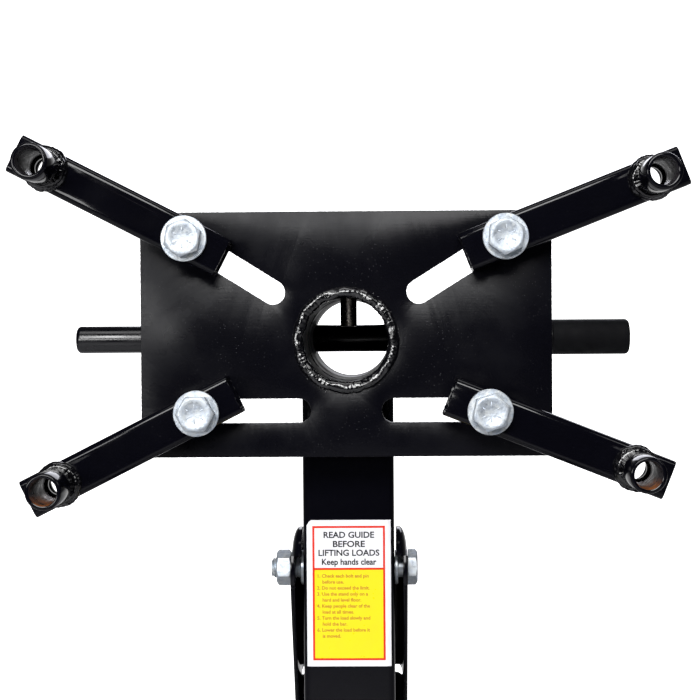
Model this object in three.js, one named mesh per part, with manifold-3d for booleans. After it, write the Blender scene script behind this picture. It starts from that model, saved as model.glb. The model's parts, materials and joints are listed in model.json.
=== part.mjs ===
// Folding engine stand: a rotating head with four adjustable arms on a braced post and a folding caster base.
// Units are millimetres, +Z up, the head faces -Y, and the origin is on the floor under the middle of the base.
import * as THREE from 'three';
import Module from 'manifold-3d';
import { mergeVertices } from 'three/addons/utils/BufferGeometryUtils.js';

const wasm = await Module();
wasm.setup();

// ---- Driving dimensions -------------------------------------------------------------------------------------
const GAP = 0.3;                    // left between pieces that touch
const AXIS_Z = 850;                 // height of the head's turning axis
const HEAD_SIDES = 32;              // facets round the head tube and its collar
const ROUND_SIDES = 16;             // facets round rods, washers and sleeves
const CORNER_STEPS = 1;             // curve steps in each rounded tube corner
const HOLE_STEPS = 6;               // curve steps in holes cut through plates

const PLATE = { width: 260, above: 82, below: 73.5, thick: 8, corner: 2 };
const HEAD_TUBE = { outer: 31.75, inner: 27.9, length: 216 };
const COLLAR = { outer: 38, inner: 32.15, front: 20, length: 128 };
const INDEX = { count: 12, at: 90, hole: 6.3, holeSides: 8, collarHole: 6.1 };
const PIN = { radius: 5.6, tip: 8.7, top: 84, crossRadius: 4, crossHalf: 22 };

const BAR = { radius: 10, at: 190, left: -204, right: 199, hole: 10.4 };
const GRIP = { outer: 13, left: 150, right: 205 };

const SLOT = { halfWidth: 7.75, lowerZ: -44, lowerIn: 30, lowerOut: 98, tilt: 32, upperIn: 46, upperOut: 114 };
const ARM = { size: 25, wall: 2.5, corner: 3.5, inner: 26, outer: 118, cupAt: 96, hole: 6.5 };
const CUP = { outer: 11, inner: 8.25, length: 50 };
const M14 = { shank: 7, hole: 7.4, flats: 21, head: 8.8, nut: 11, washer: 14.2, washerThick: 2.5 };

const POST = { size: 60, wall: 3, corner: 5, behindPlate: 70 };
const BEAM = { size: 60, wall: 3, corner: 5, bottom: 100 };
const BRACE = { width: 70.8, depth: 40, wall: 3, corner: 5, lean: 28, start: 106, boltDrop: 153 };
const EAR = { inside: 35.7, thick: 3, radius: 27.5, length: 168, neck: 19 };
const THROUGH = { nut: 10, head: 6.6, beyondNut: 3.4 };

const HINGE = { aheadOfPost: 95, tail: 25, rearGap: 40, cheek: 5, guide: 60, rim: 76, reachBack: 92 };
const CLAMP = { radius: 6, slot: 6.6, hole: 6.4, knob: 19, knobThick: 18 };
const FRONT_REACH = 430;            // hinge to front crossbar centre
const REAR_REACH = 375;             // post centre to rear crossbar centre
const CROSSBAR = { length: 754, cap: 3, plug: 14 };
const CASTER = { x: 330, wheel: 38, halfWidth: 13, trail: 28, axle: 4, fork: 3, forkTop: 88, plate: 4 };

// ---- Places worked out from them ----------------------------------------------------------------------------
const casterReach = CASTER.trail + CASTER.wheel;
const depth = FRONT_REACH + HINGE.aheadOfPost + REAR_REACH + BEAM.size / 2 + casterReach;
const postY = depth / 2 - casterReach - REAR_REACH;
const plateY = postY - POST.behindPlate;
const hingeY = postY - HINGE.aheadOfPost;
const frontY = hingeY - FRONT_REACH;
const rearY = postY + REAR_REACH;
const beamTop = BEAM.bottom + BEAM.size;
const beamZ = BEAM.bottom + BEAM.size / 2;
const boltZ = AXIS_Z - BRACE.boltDrop;
const rad = THREE.MathUtils.degToRad;

// ---- Materials ----------------------------------------------------------------------------------------------
const finish = (color, roughness, metalness) => new THREE.MeshStandardMaterial({ color, roughness, metalness });
const blackPaint = () => finish(0x111213, 0.28, 0.1);
const plateCoat = () => finish(0x17181a, 0.4, 0.1);
const zinc = () => finish(0xc9ccce, 0.28, 1);
const castZinc = () => finish(0x9c9fa2, 0.4, 0.9);
const gripRubber = () => finish(0x1b1b1c, 0.85, 0);
const wheelNylon = () => finish(0x202123, 0.55, 0);
const capPlastic = () => finish(0x161617, 0.6, 0);

// ---- Shape helpers ------------------------------------------------------------------------------------------
function toSolid(geometry) {
  const bare = geometry.clone();
  bare.deleteAttribute('normal');
  bare.deleteAttribute('uv');
  const merged = mergeVertices(bare, 1e-4);
  return new wasm.Manifold(new wasm.Mesh({
    numProp: 3,
    vertProperties: new Float32Array(merged.attributes.position.array),
    triVerts: new Uint32Array(merged.index.array),
  }));
}

function toGeometry(solid) {
  const mesh = solid.getMesh();
  const geometry = new THREE.BufferGeometry();
  geometry.setAttribute('position', new THREE.BufferAttribute(new Float32Array(mesh.vertProperties), 3));
  geometry.setIndex(new THREE.BufferAttribute(new Uint32Array(mesh.triVerts), 1));
  const flat = geometry.toNonIndexed();
  flat.computeVertexNormals();
  return flat;
}

const join = (...parts) => toGeometry(parts.map(toSolid).reduce((a, b) => a.add(b)));
const cut = (body, ...tools) => toGeometry(tools.map(toSolid).reduce((a, b) => a.subtract(b), toSolid(body)));

function roundedRect(width, height, radius) {
  const x = width / 2;
  const y = height / 2;
  const shape = new THREE.Shape();
  shape.absarc(x - radius, y - radius, radius, 0, Math.PI / 2);
  shape.absarc(radius - x, y - radius, radius, Math.PI / 2, Math.PI);
  shape.absarc(radius - x, radius - y, radius, Math.PI, 1.5 * Math.PI);
  shape.absarc(x - radius, radius - y, radius, 1.5 * Math.PI, 2 * Math.PI);
  return shape;
}

const extrude = (shape, length, curveSegments = CORNER_STEPS) =>
  new THREE.ExtrudeGeometry(shape, { depth: length, bevelEnabled: false, curveSegments });

// Hollow rectangular tube along +Z from z = 0, centred in x and y.
function boxTube(width, height, wall, corner, length) {
  const shape = roundedRect(width, height, corner);
  shape.holes.push(roundedRect(width - 2 * wall, height - 2 * wall, Math.max(corner - wall, 1)));
  return extrude(shape, length);
}

// Solid round rod along +Z between two heights.
const rod = (radius, low, high, sides = ROUND_SIDES) =>
  new THREE.CylinderGeometry(radius, radius, high - low, sides).rotateX(Math.PI / 2)
    .translate(0, 0, (low + high) / 2);

const alongX = (geometry) => geometry.rotateY(Math.PI / 2);      // +Z becomes +X
const alongY = (geometry) => geometry.rotateX(-Math.PI / 2);     // +Z becomes +Y

// Ring of rectangular section round Z.
function ring(outer, inner, low, high, sides = ROUND_SIDES) {
  const profile = [[inner, low], [outer, low], [outer, high], [inner, high], [inner, low]];
  return new THREE.LatheGeometry(profile.map(([r, h]) => new THREE.Vector2(r, h)), sides).rotateX(Math.PI / 2);
}

// Body of revolution round Z whose profile starts and ends on the axis.
const turned = (profile, sides = ROUND_SIDES) =>
  new THREE.LatheGeometry(profile.map(([r, h]) => new THREE.Vector2(r, h)), sides).rotateX(Math.PI / 2);

function hexPrism(flats, low, high, bore = 0) {
  const shape = new THREE.Shape();
  for (let i = 0; i < 6; i += 1) {
    const angle = rad(60 * i + 30);
    const corner = [Math.cos(angle) * flats / Math.sqrt(3), Math.sin(angle) * flats / Math.sqrt(3)];
    if (i === 0) shape.moveTo(...corner);
    else shape.lineTo(...corner);
  }
  shape.closePath();
  if (bore) shape.holes.push(new THREE.Path().absarc(0, 0, bore, 0, 2 * Math.PI, true));
  return extrude(shape, high - low, HOLE_STEPS).translate(0, 0, low);
}

// Slot between two centres, in the plane of x and the second coordinate.
function slotShape(a, b, halfWidth) {
  const angle = Math.atan2(b[1] - a[1], b[0] - a[0]);
  const shape = new THREE.Shape();
  shape.absarc(b[0], b[1], halfWidth, angle - Math.PI / 2, angle + Math.PI / 2);
  shape.absarc(a[0], a[1], halfWidth, angle + Math.PI / 2, angle + 1.5 * Math.PI);
  return shape;
}

// A shape drawn in x and z becomes a plate from y = near to y = far.
const uprightPlate = (shape, near, far) => extrude(shape, far - near, HOLE_STEPS).rotateX(Math.PI / 2)
  .translate(0, far, 0);

// A shape drawn in y and z becomes a plate from x = near towards +X.
const sidePlate = (shape, near, thick) => extrude(shape, thick, HOLE_STEPS)
  .applyMatrix4(new THREE.Matrix4().makeBasis(
    new THREE.Vector3(0, 1, 0), new THREE.Vector3(0, 0, 1), new THREE.Vector3(1, 0, 0)))
  .translate(near, 0, 0);

const stand = new THREE.Group();
stand.name = 'engine_stand';

function add(parent, name, geometry, material) {
  const mesh = new THREE.Mesh(geometry, material);
  mesh.name = name;
  parent.add(mesh);
  return mesh;
}

function group(parent, x, y, z) {
  const node = new THREE.Group();
  node.position.set(x, y, z);
  parent.add(node);
  return node;
}

// ---- Post, collar and brace ---------------------------------------------------------------------------------
function makePost() {
  const low = beamTop + GAP;
  const tube = boxTube(POST.size, POST.size, POST.wall, POST.corner, AXIS_Z - low).translate(0, postY, low);
  const saddle = alongY(rod(COLLAR.outer + GAP, -POST.size, POST.size, HEAD_SIDES)).translate(0, postY, AXIS_Z);
  const bore = alongX(rod(M14.hole, -POST.size, POST.size)).translate(0, postY, boltZ);
  add(stand, 'post', cut(tube, saddle, bore), blackPaint());
}

function makeCollar() {
  const tube = ring(COLLAR.outer, COLLAR.inner, 0, COLLAR.length, HEAD_SIDES);
  const pinHole = rod(INDEX.collarHole, 0, COLLAR.outer + 5).rotateX(Math.PI / 2)
    .translate(0, 0, INDEX.at - COLLAR.front);
  const collar = cut(tube, pinHole);
  add(group(stand, 0, plateY + COLLAR.front, AXIS_Z), 'head_collar', alongY(collar), blackPaint());
}

function makeBrace() {
  const pivot = group(stand, 0, postY, boltZ);
  const lean = rad(BRACE.lean);
  const leaning = group(pivot, 0, 0, 0);
  leaning.rotation.x = Math.PI + lean;                           // local +Z runs down and back along the brace
  const drop = boltZ - beamTop - GAP;
  const end = drop / Math.cos(lean) + BRACE.depth;
  const tube = boxTube(BRACE.width, BRACE.depth, BRACE.wall, BRACE.corner, end - BRACE.start)
    .translate(0, 0, BRACE.start).rotateX(Math.PI + lean);
  const belowBeamTop = new THREE.BoxGeometry(200, 400, 200).translate(0, drop * Math.tan(lean), -drop - 100);
  add(pivot, 'brace', cut(tube, belowBeamTop), blackPaint());

  const outline = new THREE.Shape();
  outline.absarc(0, 0, EAR.radius, Math.PI, 2 * Math.PI);
  outline.lineTo(EAR.radius, EAR.radius);
  outline.lineTo(EAR.neck, EAR.length);
  outline.lineTo(-EAR.neck, EAR.length);
  outline.lineTo(-EAR.radius, EAR.radius);
  outline.closePath();
  outline.holes.push(new THREE.Path().absarc(0, 0, M14.hole, 0, 2 * Math.PI, true));
  for (const [side, x] of [['left', -EAR.inside - EAR.thick], ['right', EAR.inside]]) {
    add(leaning, `brace_ear_${side}`, sidePlate(outline, x, EAR.thick), blackPaint());
  }
  const face = EAR.inside + EAR.thick + GAP;
  const bolt = join(
    alongX(rod(M14.shank, -face - THROUGH.nut - THROUGH.beyondNut, face + 1)),
    alongX(hexPrism(M14.flats, face, face + THROUGH.head)),
  );
  add(pivot, 'brace_bolt', bolt, zinc());
  const nut = alongX(hexPrism(M14.flats, -face - THROUGH.nut, -face, M14.hole));
  add(pivot, 'brace_nut', nut, zinc());
}

// ---- Base ---------------------------------------------------------------------------------------------------
function makeBeams() {
  const rearFront = hingeY + HINGE.rearGap;
  const rearEnd = rearY - BEAM.size / 2 - GAP;
  const rear = boxTube(BEAM.size, BEAM.size, BEAM.wall, BEAM.corner, rearEnd - rearFront);
  add(group(stand, 0, rearFront, beamZ), 'rear_beam', alongY(rear), blackPaint());

  const frontFrame = group(stand, 0, hingeY, beamZ);
  const length = FRONT_REACH - BEAM.size / 2 - GAP + HINGE.tail;
  const beam = alongY(boxTube(BEAM.size, BEAM.size, BEAM.wall, BEAM.corner, length))
    .translate(0, HINGE.tail - length, 0);
  const pivotHole = alongX(rod(M14.hole, -BEAM.size, BEAM.size));
  const clampHole = alongX(rod(CLAMP.hole, -BEAM.size, BEAM.size)).translate(0, -HINGE.guide, 0);
  add(frontFrame, 'front_beam', cut(beam, pivotHole, clampHole), blackPaint());
}

function makeCrossbar(end, y) {
  const frame = group(stand, 0, y, beamZ);
  const half = CROSSBAR.length / 2;
  const bar = alongX(boxTube(BEAM.size, BEAM.size, BEAM.wall, BEAM.corner, CROSSBAR.length)).translate(-half, 0, 0);
  add(frame, `${end}_crossbar`, bar, blackPaint());
  const inside = BEAM.size - 2 * (BEAM.wall + GAP);
  for (const [side, turn] of [['left', Math.PI], ['right', 0]]) {
    const cap = join(
      extrude(roundedRect(BEAM.size, BEAM.size, BEAM.corner), CROSSBAR.cap).translate(0, 0, half + GAP),
      extrude(roundedRect(inside, inside, 2), CROSSBAR.plug).translate(0, 0, half + GAP - CROSSBAR.plug + 1),
    );
    add(frame, `${end}_cap_${side}`, alongX(cap).rotateZ(turn), capPlastic());
  }
}

function makeHinge() {
  const hinge = group(stand, 0, hingeY, beamZ);
  const inside = BEAM.size / 2 + GAP;
  const outside = inside + HINGE.cheek;
  const half = BEAM.size / 2;
  const cheek = new THREE.Shape();
  cheek.moveTo(HINGE.reachBack, half - 6);
  cheek.lineTo(HINGE.rearGap, half - 6);
  cheek.lineTo(HINGE.guide / 2 - 12, HINGE.rim);
  cheek.absarc(0, 0, HINGE.rim, rad(80), rad(190));
  cheek.lineTo(-20, -half - GAP);
  cheek.lineTo(HINGE.reachBack, -half - GAP);
  cheek.closePath();
  const guide = new THREE.Path();
  guide.absarc(0, 0, HINGE.guide + CLAMP.slot, rad(90), rad(180));
  guide.absarc(-HINGE.guide, 0, CLAMP.slot, rad(180), rad(360));
  guide.absarc(0, 0, HINGE.guide - CLAMP.slot, rad(180), rad(90), true);
  guide.absarc(0, HINGE.guide, CLAMP.slot, rad(-90), rad(90));
  cheek.holes.push(guide, new THREE.Path().absarc(0, 0, M14.hole, 0, 2 * Math.PI, true));
  const sides = [-outside, inside].map((x) => sidePlate(cheek, x, HINGE.cheek));
  const webLength = HINGE.reachBack - HINGE.rearGap - 2;
  const web = new THREE.BoxGeometry(2 * outside, webLength, HINGE.cheek)
    .translate(0, HINGE.reachBack - webLength / 2, -half - GAP - HINGE.cheek / 2);
  const webJoin = sides.map((side, i) => new THREE.BoxGeometry(HINGE.cheek, webLength, HINGE.cheek + 2)
    .translate((i ? 1 : -1) * (inside + HINGE.cheek / 2), HINGE.reachBack - webLength / 2, -half - HINGE.cheek / 2));
  add(hinge, 'hinge_bracket', join(web, ...webJoin, ...sides), blackPaint());

  const face = outside + GAP;
  const bolt = join(
    alongX(rod(M14.shank, -face - M14.nut - 4, face + 1)),
    alongX(hexPrism(M14.flats, face, face + M14.head)),
  );
  add(hinge, 'hinge_bolt', bolt, zinc());
  add(hinge, 'hinge_nut', alongX(hexPrism(M14.flats, -face - M14.nut, -face, M14.hole)), zinc());

  const lobes = new THREE.Shape();
  const steps = 20;
  for (let i = 0; i < steps; i += 1) {
    const angle = 2 * Math.PI * i / steps;
    const radius = CLAMP.knob - 3 + 3 * Math.cos(5 * angle);
    if (i === 0) lobes.moveTo(radius, 0);
    else lobes.lineTo(radius * Math.cos(angle), radius * Math.sin(angle));
  }
  lobes.closePath();
  const knob = join(
    alongX(rod(CLAMP.radius, -face - 4, face + 5)),
    alongX(rod(CLAMP.knob / 2, -face - 6, -face)),
    alongX(rod(CLAMP.knob / 2, face, face + 5)),
    alongX(extrude(lobes, CLAMP.knobThick).translate(0, 0, face + 4)),
  ).translate(0, -HINGE.guide, 0);
  add(hinge, 'fold_clamp_knob', knob, capPlastic());
}

function makeCaster(name, x, y) {
  const caster = group(stand, x, y, 0);
  const plateTop = BEAM.bottom - GAP;
  const raceway = [[0, CASTER.forkTop + GAP], [20, CASTER.forkTop + GAP], [24, CASTER.forkTop + 4],
    [24, plateTop - CASTER.plate + 1], [0, plateTop - CASTER.plate + 1]];
  add(caster, `${name}_plate`, join(
    extrude(roundedRect(90, 60, 8), CASTER.plate).translate(0, 0, plateTop - CASTER.plate),
    turned(raceway),
  ), castZinc());

  const inside = CASTER.halfWidth + 1.5;
  const outside = inside + CASTER.fork;
  const leg = new THREE.Shape();
  leg.moveTo(-22, CASTER.forkTop);
  leg.lineTo(-22, CASTER.forkTop - 14);
  leg.absarc(CASTER.trail, CASTER.wheel, 12, rad(200), rad(350));
  leg.lineTo(24, CASTER.forkTop);
  leg.closePath();
  leg.holes.push(new THREE.Path().absarc(CASTER.trail, CASTER.wheel, CASTER.axle + GAP, 0, 2 * Math.PI, true));
  const legs = [-outside, inside].map((at) => sidePlate(leg, at, CASTER.fork));
  const top = new THREE.BoxGeometry(2 * outside, 46, CASTER.fork)
    .translate(0, 1, CASTER.forkTop - CASTER.fork / 2);
  add(caster, `${name}_fork`, join(top, ...legs), castZinc());

  const hub = group(caster, 0, CASTER.trail, CASTER.wheel);
  const shankEnd = outside + GAP;
  const axle = turned([[0, -shankEnd - 4], [6.5, -shankEnd - 4], [6.5, -shankEnd], [CASTER.axle, -shankEnd],
    [CASTER.axle, shankEnd], [6.5, shankEnd], [6.5, shankEnd + 4], [0, shankEnd + 4]], 12);
  add(hub, `${name}_axle`, alongX(axle), zinc());
  const w = CASTER.halfWidth;
  const r = CASTER.wheel;
  const bore = CASTER.axle + GAP;
  const profile = [[bore, -w], [r - 4, -w], [r, 4 - w], [r, w - 4], [r - 4, w], [bore, w], [bore, -w]];
  const wheel = turned(profile, 20);
  add(hub, `${name}_wheel`, alongX(wheel), wheelNylon());
}

// ---- Rotating head ------------------------------------------------------------------------------------------
const head = group(stand, 0, plateY, AXIS_Z);

function upperSlotCentre(x) {
  const anchor = { x: 99, z: 63.9 };
  return [x, anchor.z + (x - anchor.x) * Math.tan(rad(SLOT.tilt))];
}

function makeHead() {
  const outline = roundedRect(PLATE.width, PLATE.above + PLATE.below, PLATE.corner);
  const plate = uprightPlate(outline, 0, PLATE.thick)
    .translate(0, 0, (PLATE.above - PLATE.below) / 2);
  const tools = [alongY(rod(HEAD_TUBE.outer + GAP, -1, PLATE.thick + 1, HEAD_SIDES))];
  for (const side of [-1, 1]) {
    const mirrored = ([x, z]) => [side * x, z];
    const upper = slotShape(mirrored(upperSlotCentre(SLOT.upperIn)), mirrored(upperSlotCentre(SLOT.upperOut)),
      SLOT.halfWidth);
    const lower = slotShape(mirrored([SLOT.lowerIn, SLOT.lowerZ]), mirrored([SLOT.lowerOut, SLOT.lowerZ]),
      SLOT.halfWidth);
    tools.push(uprightPlate(upper, -1, PLATE.thick + 1), uprightPlate(lower, -1, PLATE.thick + 1));
  }
  add(head, 'mounting_plate', cut(plate, ...tools), plateCoat());

  const tube = ring(HEAD_TUBE.outer, HEAD_TUBE.inner, 0, HEAD_TUBE.length, HEAD_SIDES);
  const barHole = alongX(rod(BAR.hole, -40, 40)).translate(0, 0, BAR.at);
  const indexHoles = Array.from({ length: INDEX.count }, (_, i) =>
    alongX(rod(INDEX.hole, 20, 40, INDEX.holeSides)).rotateZ(2 * Math.PI * i / INDEX.count).translate(0, 0, INDEX.at));
  add(head, 'head_tube', alongY(cut(tube, barHole, ...indexHoles)), blackPaint());
}

function makeLockPin() {
  const neck = PIN.top - PIN.crossRadius;
  const shank = turned([[0, PIN.tip], [PIN.radius - 1, PIN.tip], [PIN.radius, PIN.tip + 1], [PIN.radius, neck + 2],
    [0, neck + 2]]);
  const cross = alongX(rod(PIN.crossRadius, -PIN.crossHalf, PIN.crossHalf, 12)).translate(0, 0, neck);
  add(group(head, 0, INDEX.at, 0), 'lock_pin', join(shank, cross), zinc());
}

function makeHandle() {
  const bar = group(head, 0, BAR.at, 0);
  const r = BAR.radius;
  const dome = 5;
  add(bar, 'handle_bar', alongX(turned([[0, BAR.left], [r * 0.6, BAR.left + 1], [r, BAR.left + dome],
    [r, BAR.right], [0, BAR.right]])), blackPaint());
  const o = GRIP.outer;
  const bore = r + GAP;
  const end = BAR.right + GAP;
  add(bar, 'handle_grip', alongX(turned([[0, end], [bore, end], [bore, GRIP.left], [o - 1, GRIP.left],
    [o, GRIP.left + 1], [o, GRIP.right - 4], [o - 4, GRIP.right], [0, GRIP.right]])), gripRubber());
}

function makeArm(name, boltAt, direction) {
  const arm = group(head, boltAt[0], -GAP, boltAt[1]);
  arm.rotation.y = -rad(direction);                              // local +X runs out along the arm
  const length = ARM.inner + ARM.outer;
  const tube = alongX(boxTube(ARM.size, ARM.size, ARM.wall, ARM.corner, length))
    .translate(-ARM.inner, -ARM.size / 2, 0);
  const boltHole = alongY(rod(M14.hole, -ARM.size - 1, 1));
  const cupHole = alongY(rod(ARM.hole, -ARM.size - 1, 1)).translate(ARM.cupAt, 0, 0);
  add(arm, `${name}_tube`, cut(tube, boltHole, cupHole), blackPaint());

  const front = -ARM.size - GAP;
  const cup = ring(CUP.outer, CUP.inner, front - CUP.length, front);
  add(arm, `${name}_cup`, alongY(cup).translate(ARM.cupAt, 0, 0), blackPaint());

  const washer = ring(M14.washer, M14.hole, front - M14.washerThick, front);
  add(arm, `${name}_washer`, alongY(washer), zinc());
  const seat = front - M14.washerThick - GAP;
  const nutSeat = PLATE.thick + 2 * GAP;
  const bolt = join(
    alongY(rod(M14.shank, seat - 1, nutSeat + M14.nut + 3)),
    alongY(hexPrism(M14.flats, seat - M14.head, seat)),
  );
  add(arm, `${name}_bolt`, bolt, zinc());
  add(arm, `${name}_nut`, alongY(hexPrism(M14.flats, nutSeat, nutSeat + M14.nut, M14.hole)), zinc());
}

makePost();
makeCollar();
makeBrace();
makeBeams();
makeHinge();
makeCrossbar('rear', rearY);
makeCrossbar('front', frontY);
for (const [end, y] of [['rear', rearY], ['front', frontY]]) {
  for (const [side, x] of [['left', -CASTER.x], ['right', CASTER.x]]) makeCaster(`caster_${end}_${side}`, x, y);
}
makeHead();
makeLockPin();
makeHandle();
makeArm('arm_upper_left', [-99, 63.9], 180 - 27.2);
makeArm('arm_upper_right', [99, 63.9], 21.4);
makeArm('arm_lower_left', [-92.2, SLOT.lowerZ], 180 + 26.8);
makeArm('arm_lower_right', [89.1, SLOT.lowerZ], -21.5);

export default stand;
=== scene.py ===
"""Looks of the folding engine stand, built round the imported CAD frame.

Lengths in this script are millimetres until a mesh is made, and metres after that, in the frame's own axes:
+Z up, the head's turning axis along +Y, and the engine's side facing -Y.
"""
import json
import math
import random

import bmesh
import bpy
import numpy as np
from mathutils import Matrix, Vector
from mathutils.geometry import delaunay_2d_cdt
from mathutils.noise import noise


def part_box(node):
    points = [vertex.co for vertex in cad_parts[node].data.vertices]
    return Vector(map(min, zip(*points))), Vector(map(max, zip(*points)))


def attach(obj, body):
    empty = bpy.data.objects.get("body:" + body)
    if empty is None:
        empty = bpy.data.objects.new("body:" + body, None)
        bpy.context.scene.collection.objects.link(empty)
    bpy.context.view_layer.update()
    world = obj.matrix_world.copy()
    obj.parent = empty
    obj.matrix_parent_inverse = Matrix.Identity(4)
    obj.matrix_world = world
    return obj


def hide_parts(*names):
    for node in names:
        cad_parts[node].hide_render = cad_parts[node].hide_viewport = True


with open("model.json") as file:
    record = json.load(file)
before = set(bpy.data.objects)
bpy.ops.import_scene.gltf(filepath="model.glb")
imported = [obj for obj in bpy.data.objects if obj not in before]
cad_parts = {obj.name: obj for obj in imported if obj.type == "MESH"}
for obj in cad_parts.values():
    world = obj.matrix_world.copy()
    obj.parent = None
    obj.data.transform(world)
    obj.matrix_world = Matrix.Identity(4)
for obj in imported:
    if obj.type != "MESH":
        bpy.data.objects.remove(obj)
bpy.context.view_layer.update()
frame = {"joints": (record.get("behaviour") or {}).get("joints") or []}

M = 0.001                       # metres in a millimetre
# Each turns a local +Z onto that axis of the frame.
AXES = {"X": Matrix.Rotation(math.pi / 2, 4, "Y"), "Y": Matrix.Rotation(-math.pi / 2, 4, "X"),
        "Z": Matrix.Identity(4)}


# ---- Places read from the frame ------------------------------------------------------------
def low(node):
    return np.array(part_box(node)[0]) / M


def high(node):
    return np.array(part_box(node)[1]) / M


def middle(node):
    return (low(node) + high(node)) / 2


AXIS_Z = next(j["pos_m"][2] for j in frame["joints"] if j["name"] == "head_spin") / M
PLATE_FRONT = low("mounting_plate")[1]
PLATE_THICK = high("mounting_plate")[1] - PLATE_FRONT
ARMS = ("upper_left", "upper_right", "lower_left", "lower_right")
CASTERS = ("rear_left", "rear_right", "front_left", "front_right")


# ---- Materials -----------------------------------------------------------------------------
class Nodes:
    """A material's node tree, with short calls for the nodes that the finishes here use."""

    def __init__(self, name):
        self.material = bpy.data.materials.new(name)
        self.material.use_nodes = True
        self.tree = self.material.node_tree
        self.shader = self.tree.nodes["Principled BSDF"]
        self.coords = self.tree.nodes.new("ShaderNodeTexCoord").outputs["Object"]

    def set(self, **values):
        for key, value in values.items():
            self.shader.inputs[key.replace("_", " ")].default_value = value

    def link(self, source, target):
        self.tree.links.new(source, target)

    def new(self, kind, **values):
        node = self.tree.nodes.new(kind)
        for key, value in values.items():
            node.inputs[key.replace("_", " ")].default_value = value
        return node

    def texture(self, kind, vector=None, **values):
        node = self.new(kind, **values)
        self.link(vector or self.coords, node.inputs["Vector"])
        return node

    def scaled(self, x, y, z):
        return self.texture("ShaderNodeMapping", Scale=(x, y, z)).outputs["Vector"]

    def noise(self, scale, detail=3, rough=0.55, vector=None):
        node = self.texture("ShaderNodeTexNoise", vector, Scale=scale, Detail=detail, Roughness=rough)
        return node.outputs["Fac"]

    def cells(self, scale):
        return self.texture("ShaderNodeTexVoronoi", Scale=scale).outputs["Distance"]

    def remap(self, value, low_in, high_in, low_out, high_out):
        node = self.new("ShaderNodeMapRange", From_Min=low_in, From_Max=high_in, To_Min=low_out,
                        To_Max=high_out)
        self.link(value, node.inputs["Value"])
        return node.outputs["Result"]

    def mix(self, factor, a, b):
        node = self.tree.nodes.new("ShaderNodeMix")
        node.data_type = "RGBA"
        self.link(factor, node.inputs["Factor"])
        for key, colour in (("A", a), ("B", b)):
            socket = [s for s in node.inputs if s.name == key and s.type == "RGBA"][0]
            if isinstance(colour, tuple):
                socket.default_value = (*colour, 1)
            else:
                self.link(colour, socket)
        return [s for s in node.outputs if s.type == "RGBA"][0]

    def math(self, operation, a, b):
        node = self.tree.nodes.new("ShaderNodeMath")
        node.operation = operation
        for socket, value in zip(node.inputs, (a, b)):
            if isinstance(value, (int, float)):
                socket.default_value = value
            else:
                self.link(value, socket)
        return node.outputs["Value"]

    def bump(self, *layers):
        """Each layer is a height output, a strength and a distance in millimetres."""
        normal = None
        for height, strength, distance in layers:
            node = self.new("ShaderNodeBump", Strength=strength, Distance=distance * M)
            self.link(height, node.inputs["Height"])
            if normal:
                self.link(normal, node.inputs["Normal"])
            normal = node.outputs["Normal"]
        self.link(normal, self.shader.inputs["Normal"])

    def drive(self, socket, output):
        self.link(output, self.shader.inputs[socket])


def gloss_paint(name, rough=0.10, peel=0.2, speck=0.4, level=0.18):
    """Thick black enamel: orange peel, a little dust in the coat and slow changes in gloss."""
    n = Nodes(name)
    n.set(Metallic=0.0, IOR=1.5, Specular_IOR_Level=level)
    dust = n.remap(n.cells(420), 0.0, 0.11, 1.0, 0.0)
    patches = n.remap(n.noise(55, 2), 0.55, 0.75, 0.0, speck)
    dust = n.math("MULTIPLY", dust, patches)
    shade = n.mix(n.noise(18, 3), (0.0010, 0.0010, 0.0020), (0.0021, 0.0021, 0.0038))
    n.drive("Base Color", n.mix(dust, shade, (0.10, 0.10, 0.105)))
    n.drive("Roughness", n.remap(n.noise(35, 4), 0.3, 0.7, rough * 0.75, rough * 1.5))
    n.bump((n.noise(330, 2), peel, 0.06), (n.noise(60, 2), 0.2, 0.08))
    return n.material


def plate_paint(name):
    """Black enamel on a rough rolled plate: rolling lines, pitting, hazy patches and overspray grit."""
    n = Nodes(name)
    n.set(Metallic=0.0, IOR=1.5, Specular_IOR_Level=0.09)
    lines = n.noise(900, 3, 0.6, n.scaled(0.05, 1, 1.6))
    grain = n.noise(950, 3, 0.7)
    haze = n.noise(16, 4, 0.6)
    dust = n.remap(n.cells(520), 0.0, 0.14, 1.0, 0.0)
    grit = n.math("MULTIPLY", dust, n.remap(n.noise(40, 3), 0.5, 0.68, 0.0, 0.8))
    shade = n.mix(haze, (0.0010, 0.0010, 0.0020), (0.0032, 0.0032, 0.0052))
    n.drive("Base Color", n.mix(grit, shade, (0.14, 0.14, 0.15)))
    n.drive("Roughness", n.remap(haze, 0.42, 0.66, 0.22, 0.37))
    n.bump((lines, 0.55, 0.05), (grain, 0.5, 0.04), (n.noise(80, 3), 0.2, 0.12))
    return n.material


def weld_paint(name, grit):
    """Enamel flowed over a weld bead: very glossy, with soft ripples and, on a dirty bead, sharp grit."""
    n = Nodes(name)
    n.set(Metallic=0.0, IOR=1.5, Specular_IOR_Level=0.45, Coat_Weight=0.2 + 0.5 * grit, Coat_Roughness=0.03)
    n.drive("Base Color", n.mix(n.noise(90, 3), (0.0010, 0.0010, 0.0014), (0.0034, 0.0034, 0.0045)))
    n.drive("Roughness", n.remap(n.noise(120, 3), 0.3, 0.7, 0.05, 0.14))
    n.bump((n.noise(150, 2), 0.5, 0.5), (n.noise(420, 4, 0.65), 0.9 * grit, 0.4),
           (n.cells(380), 0.6 * grit, 0.2))
    return n.material


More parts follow.
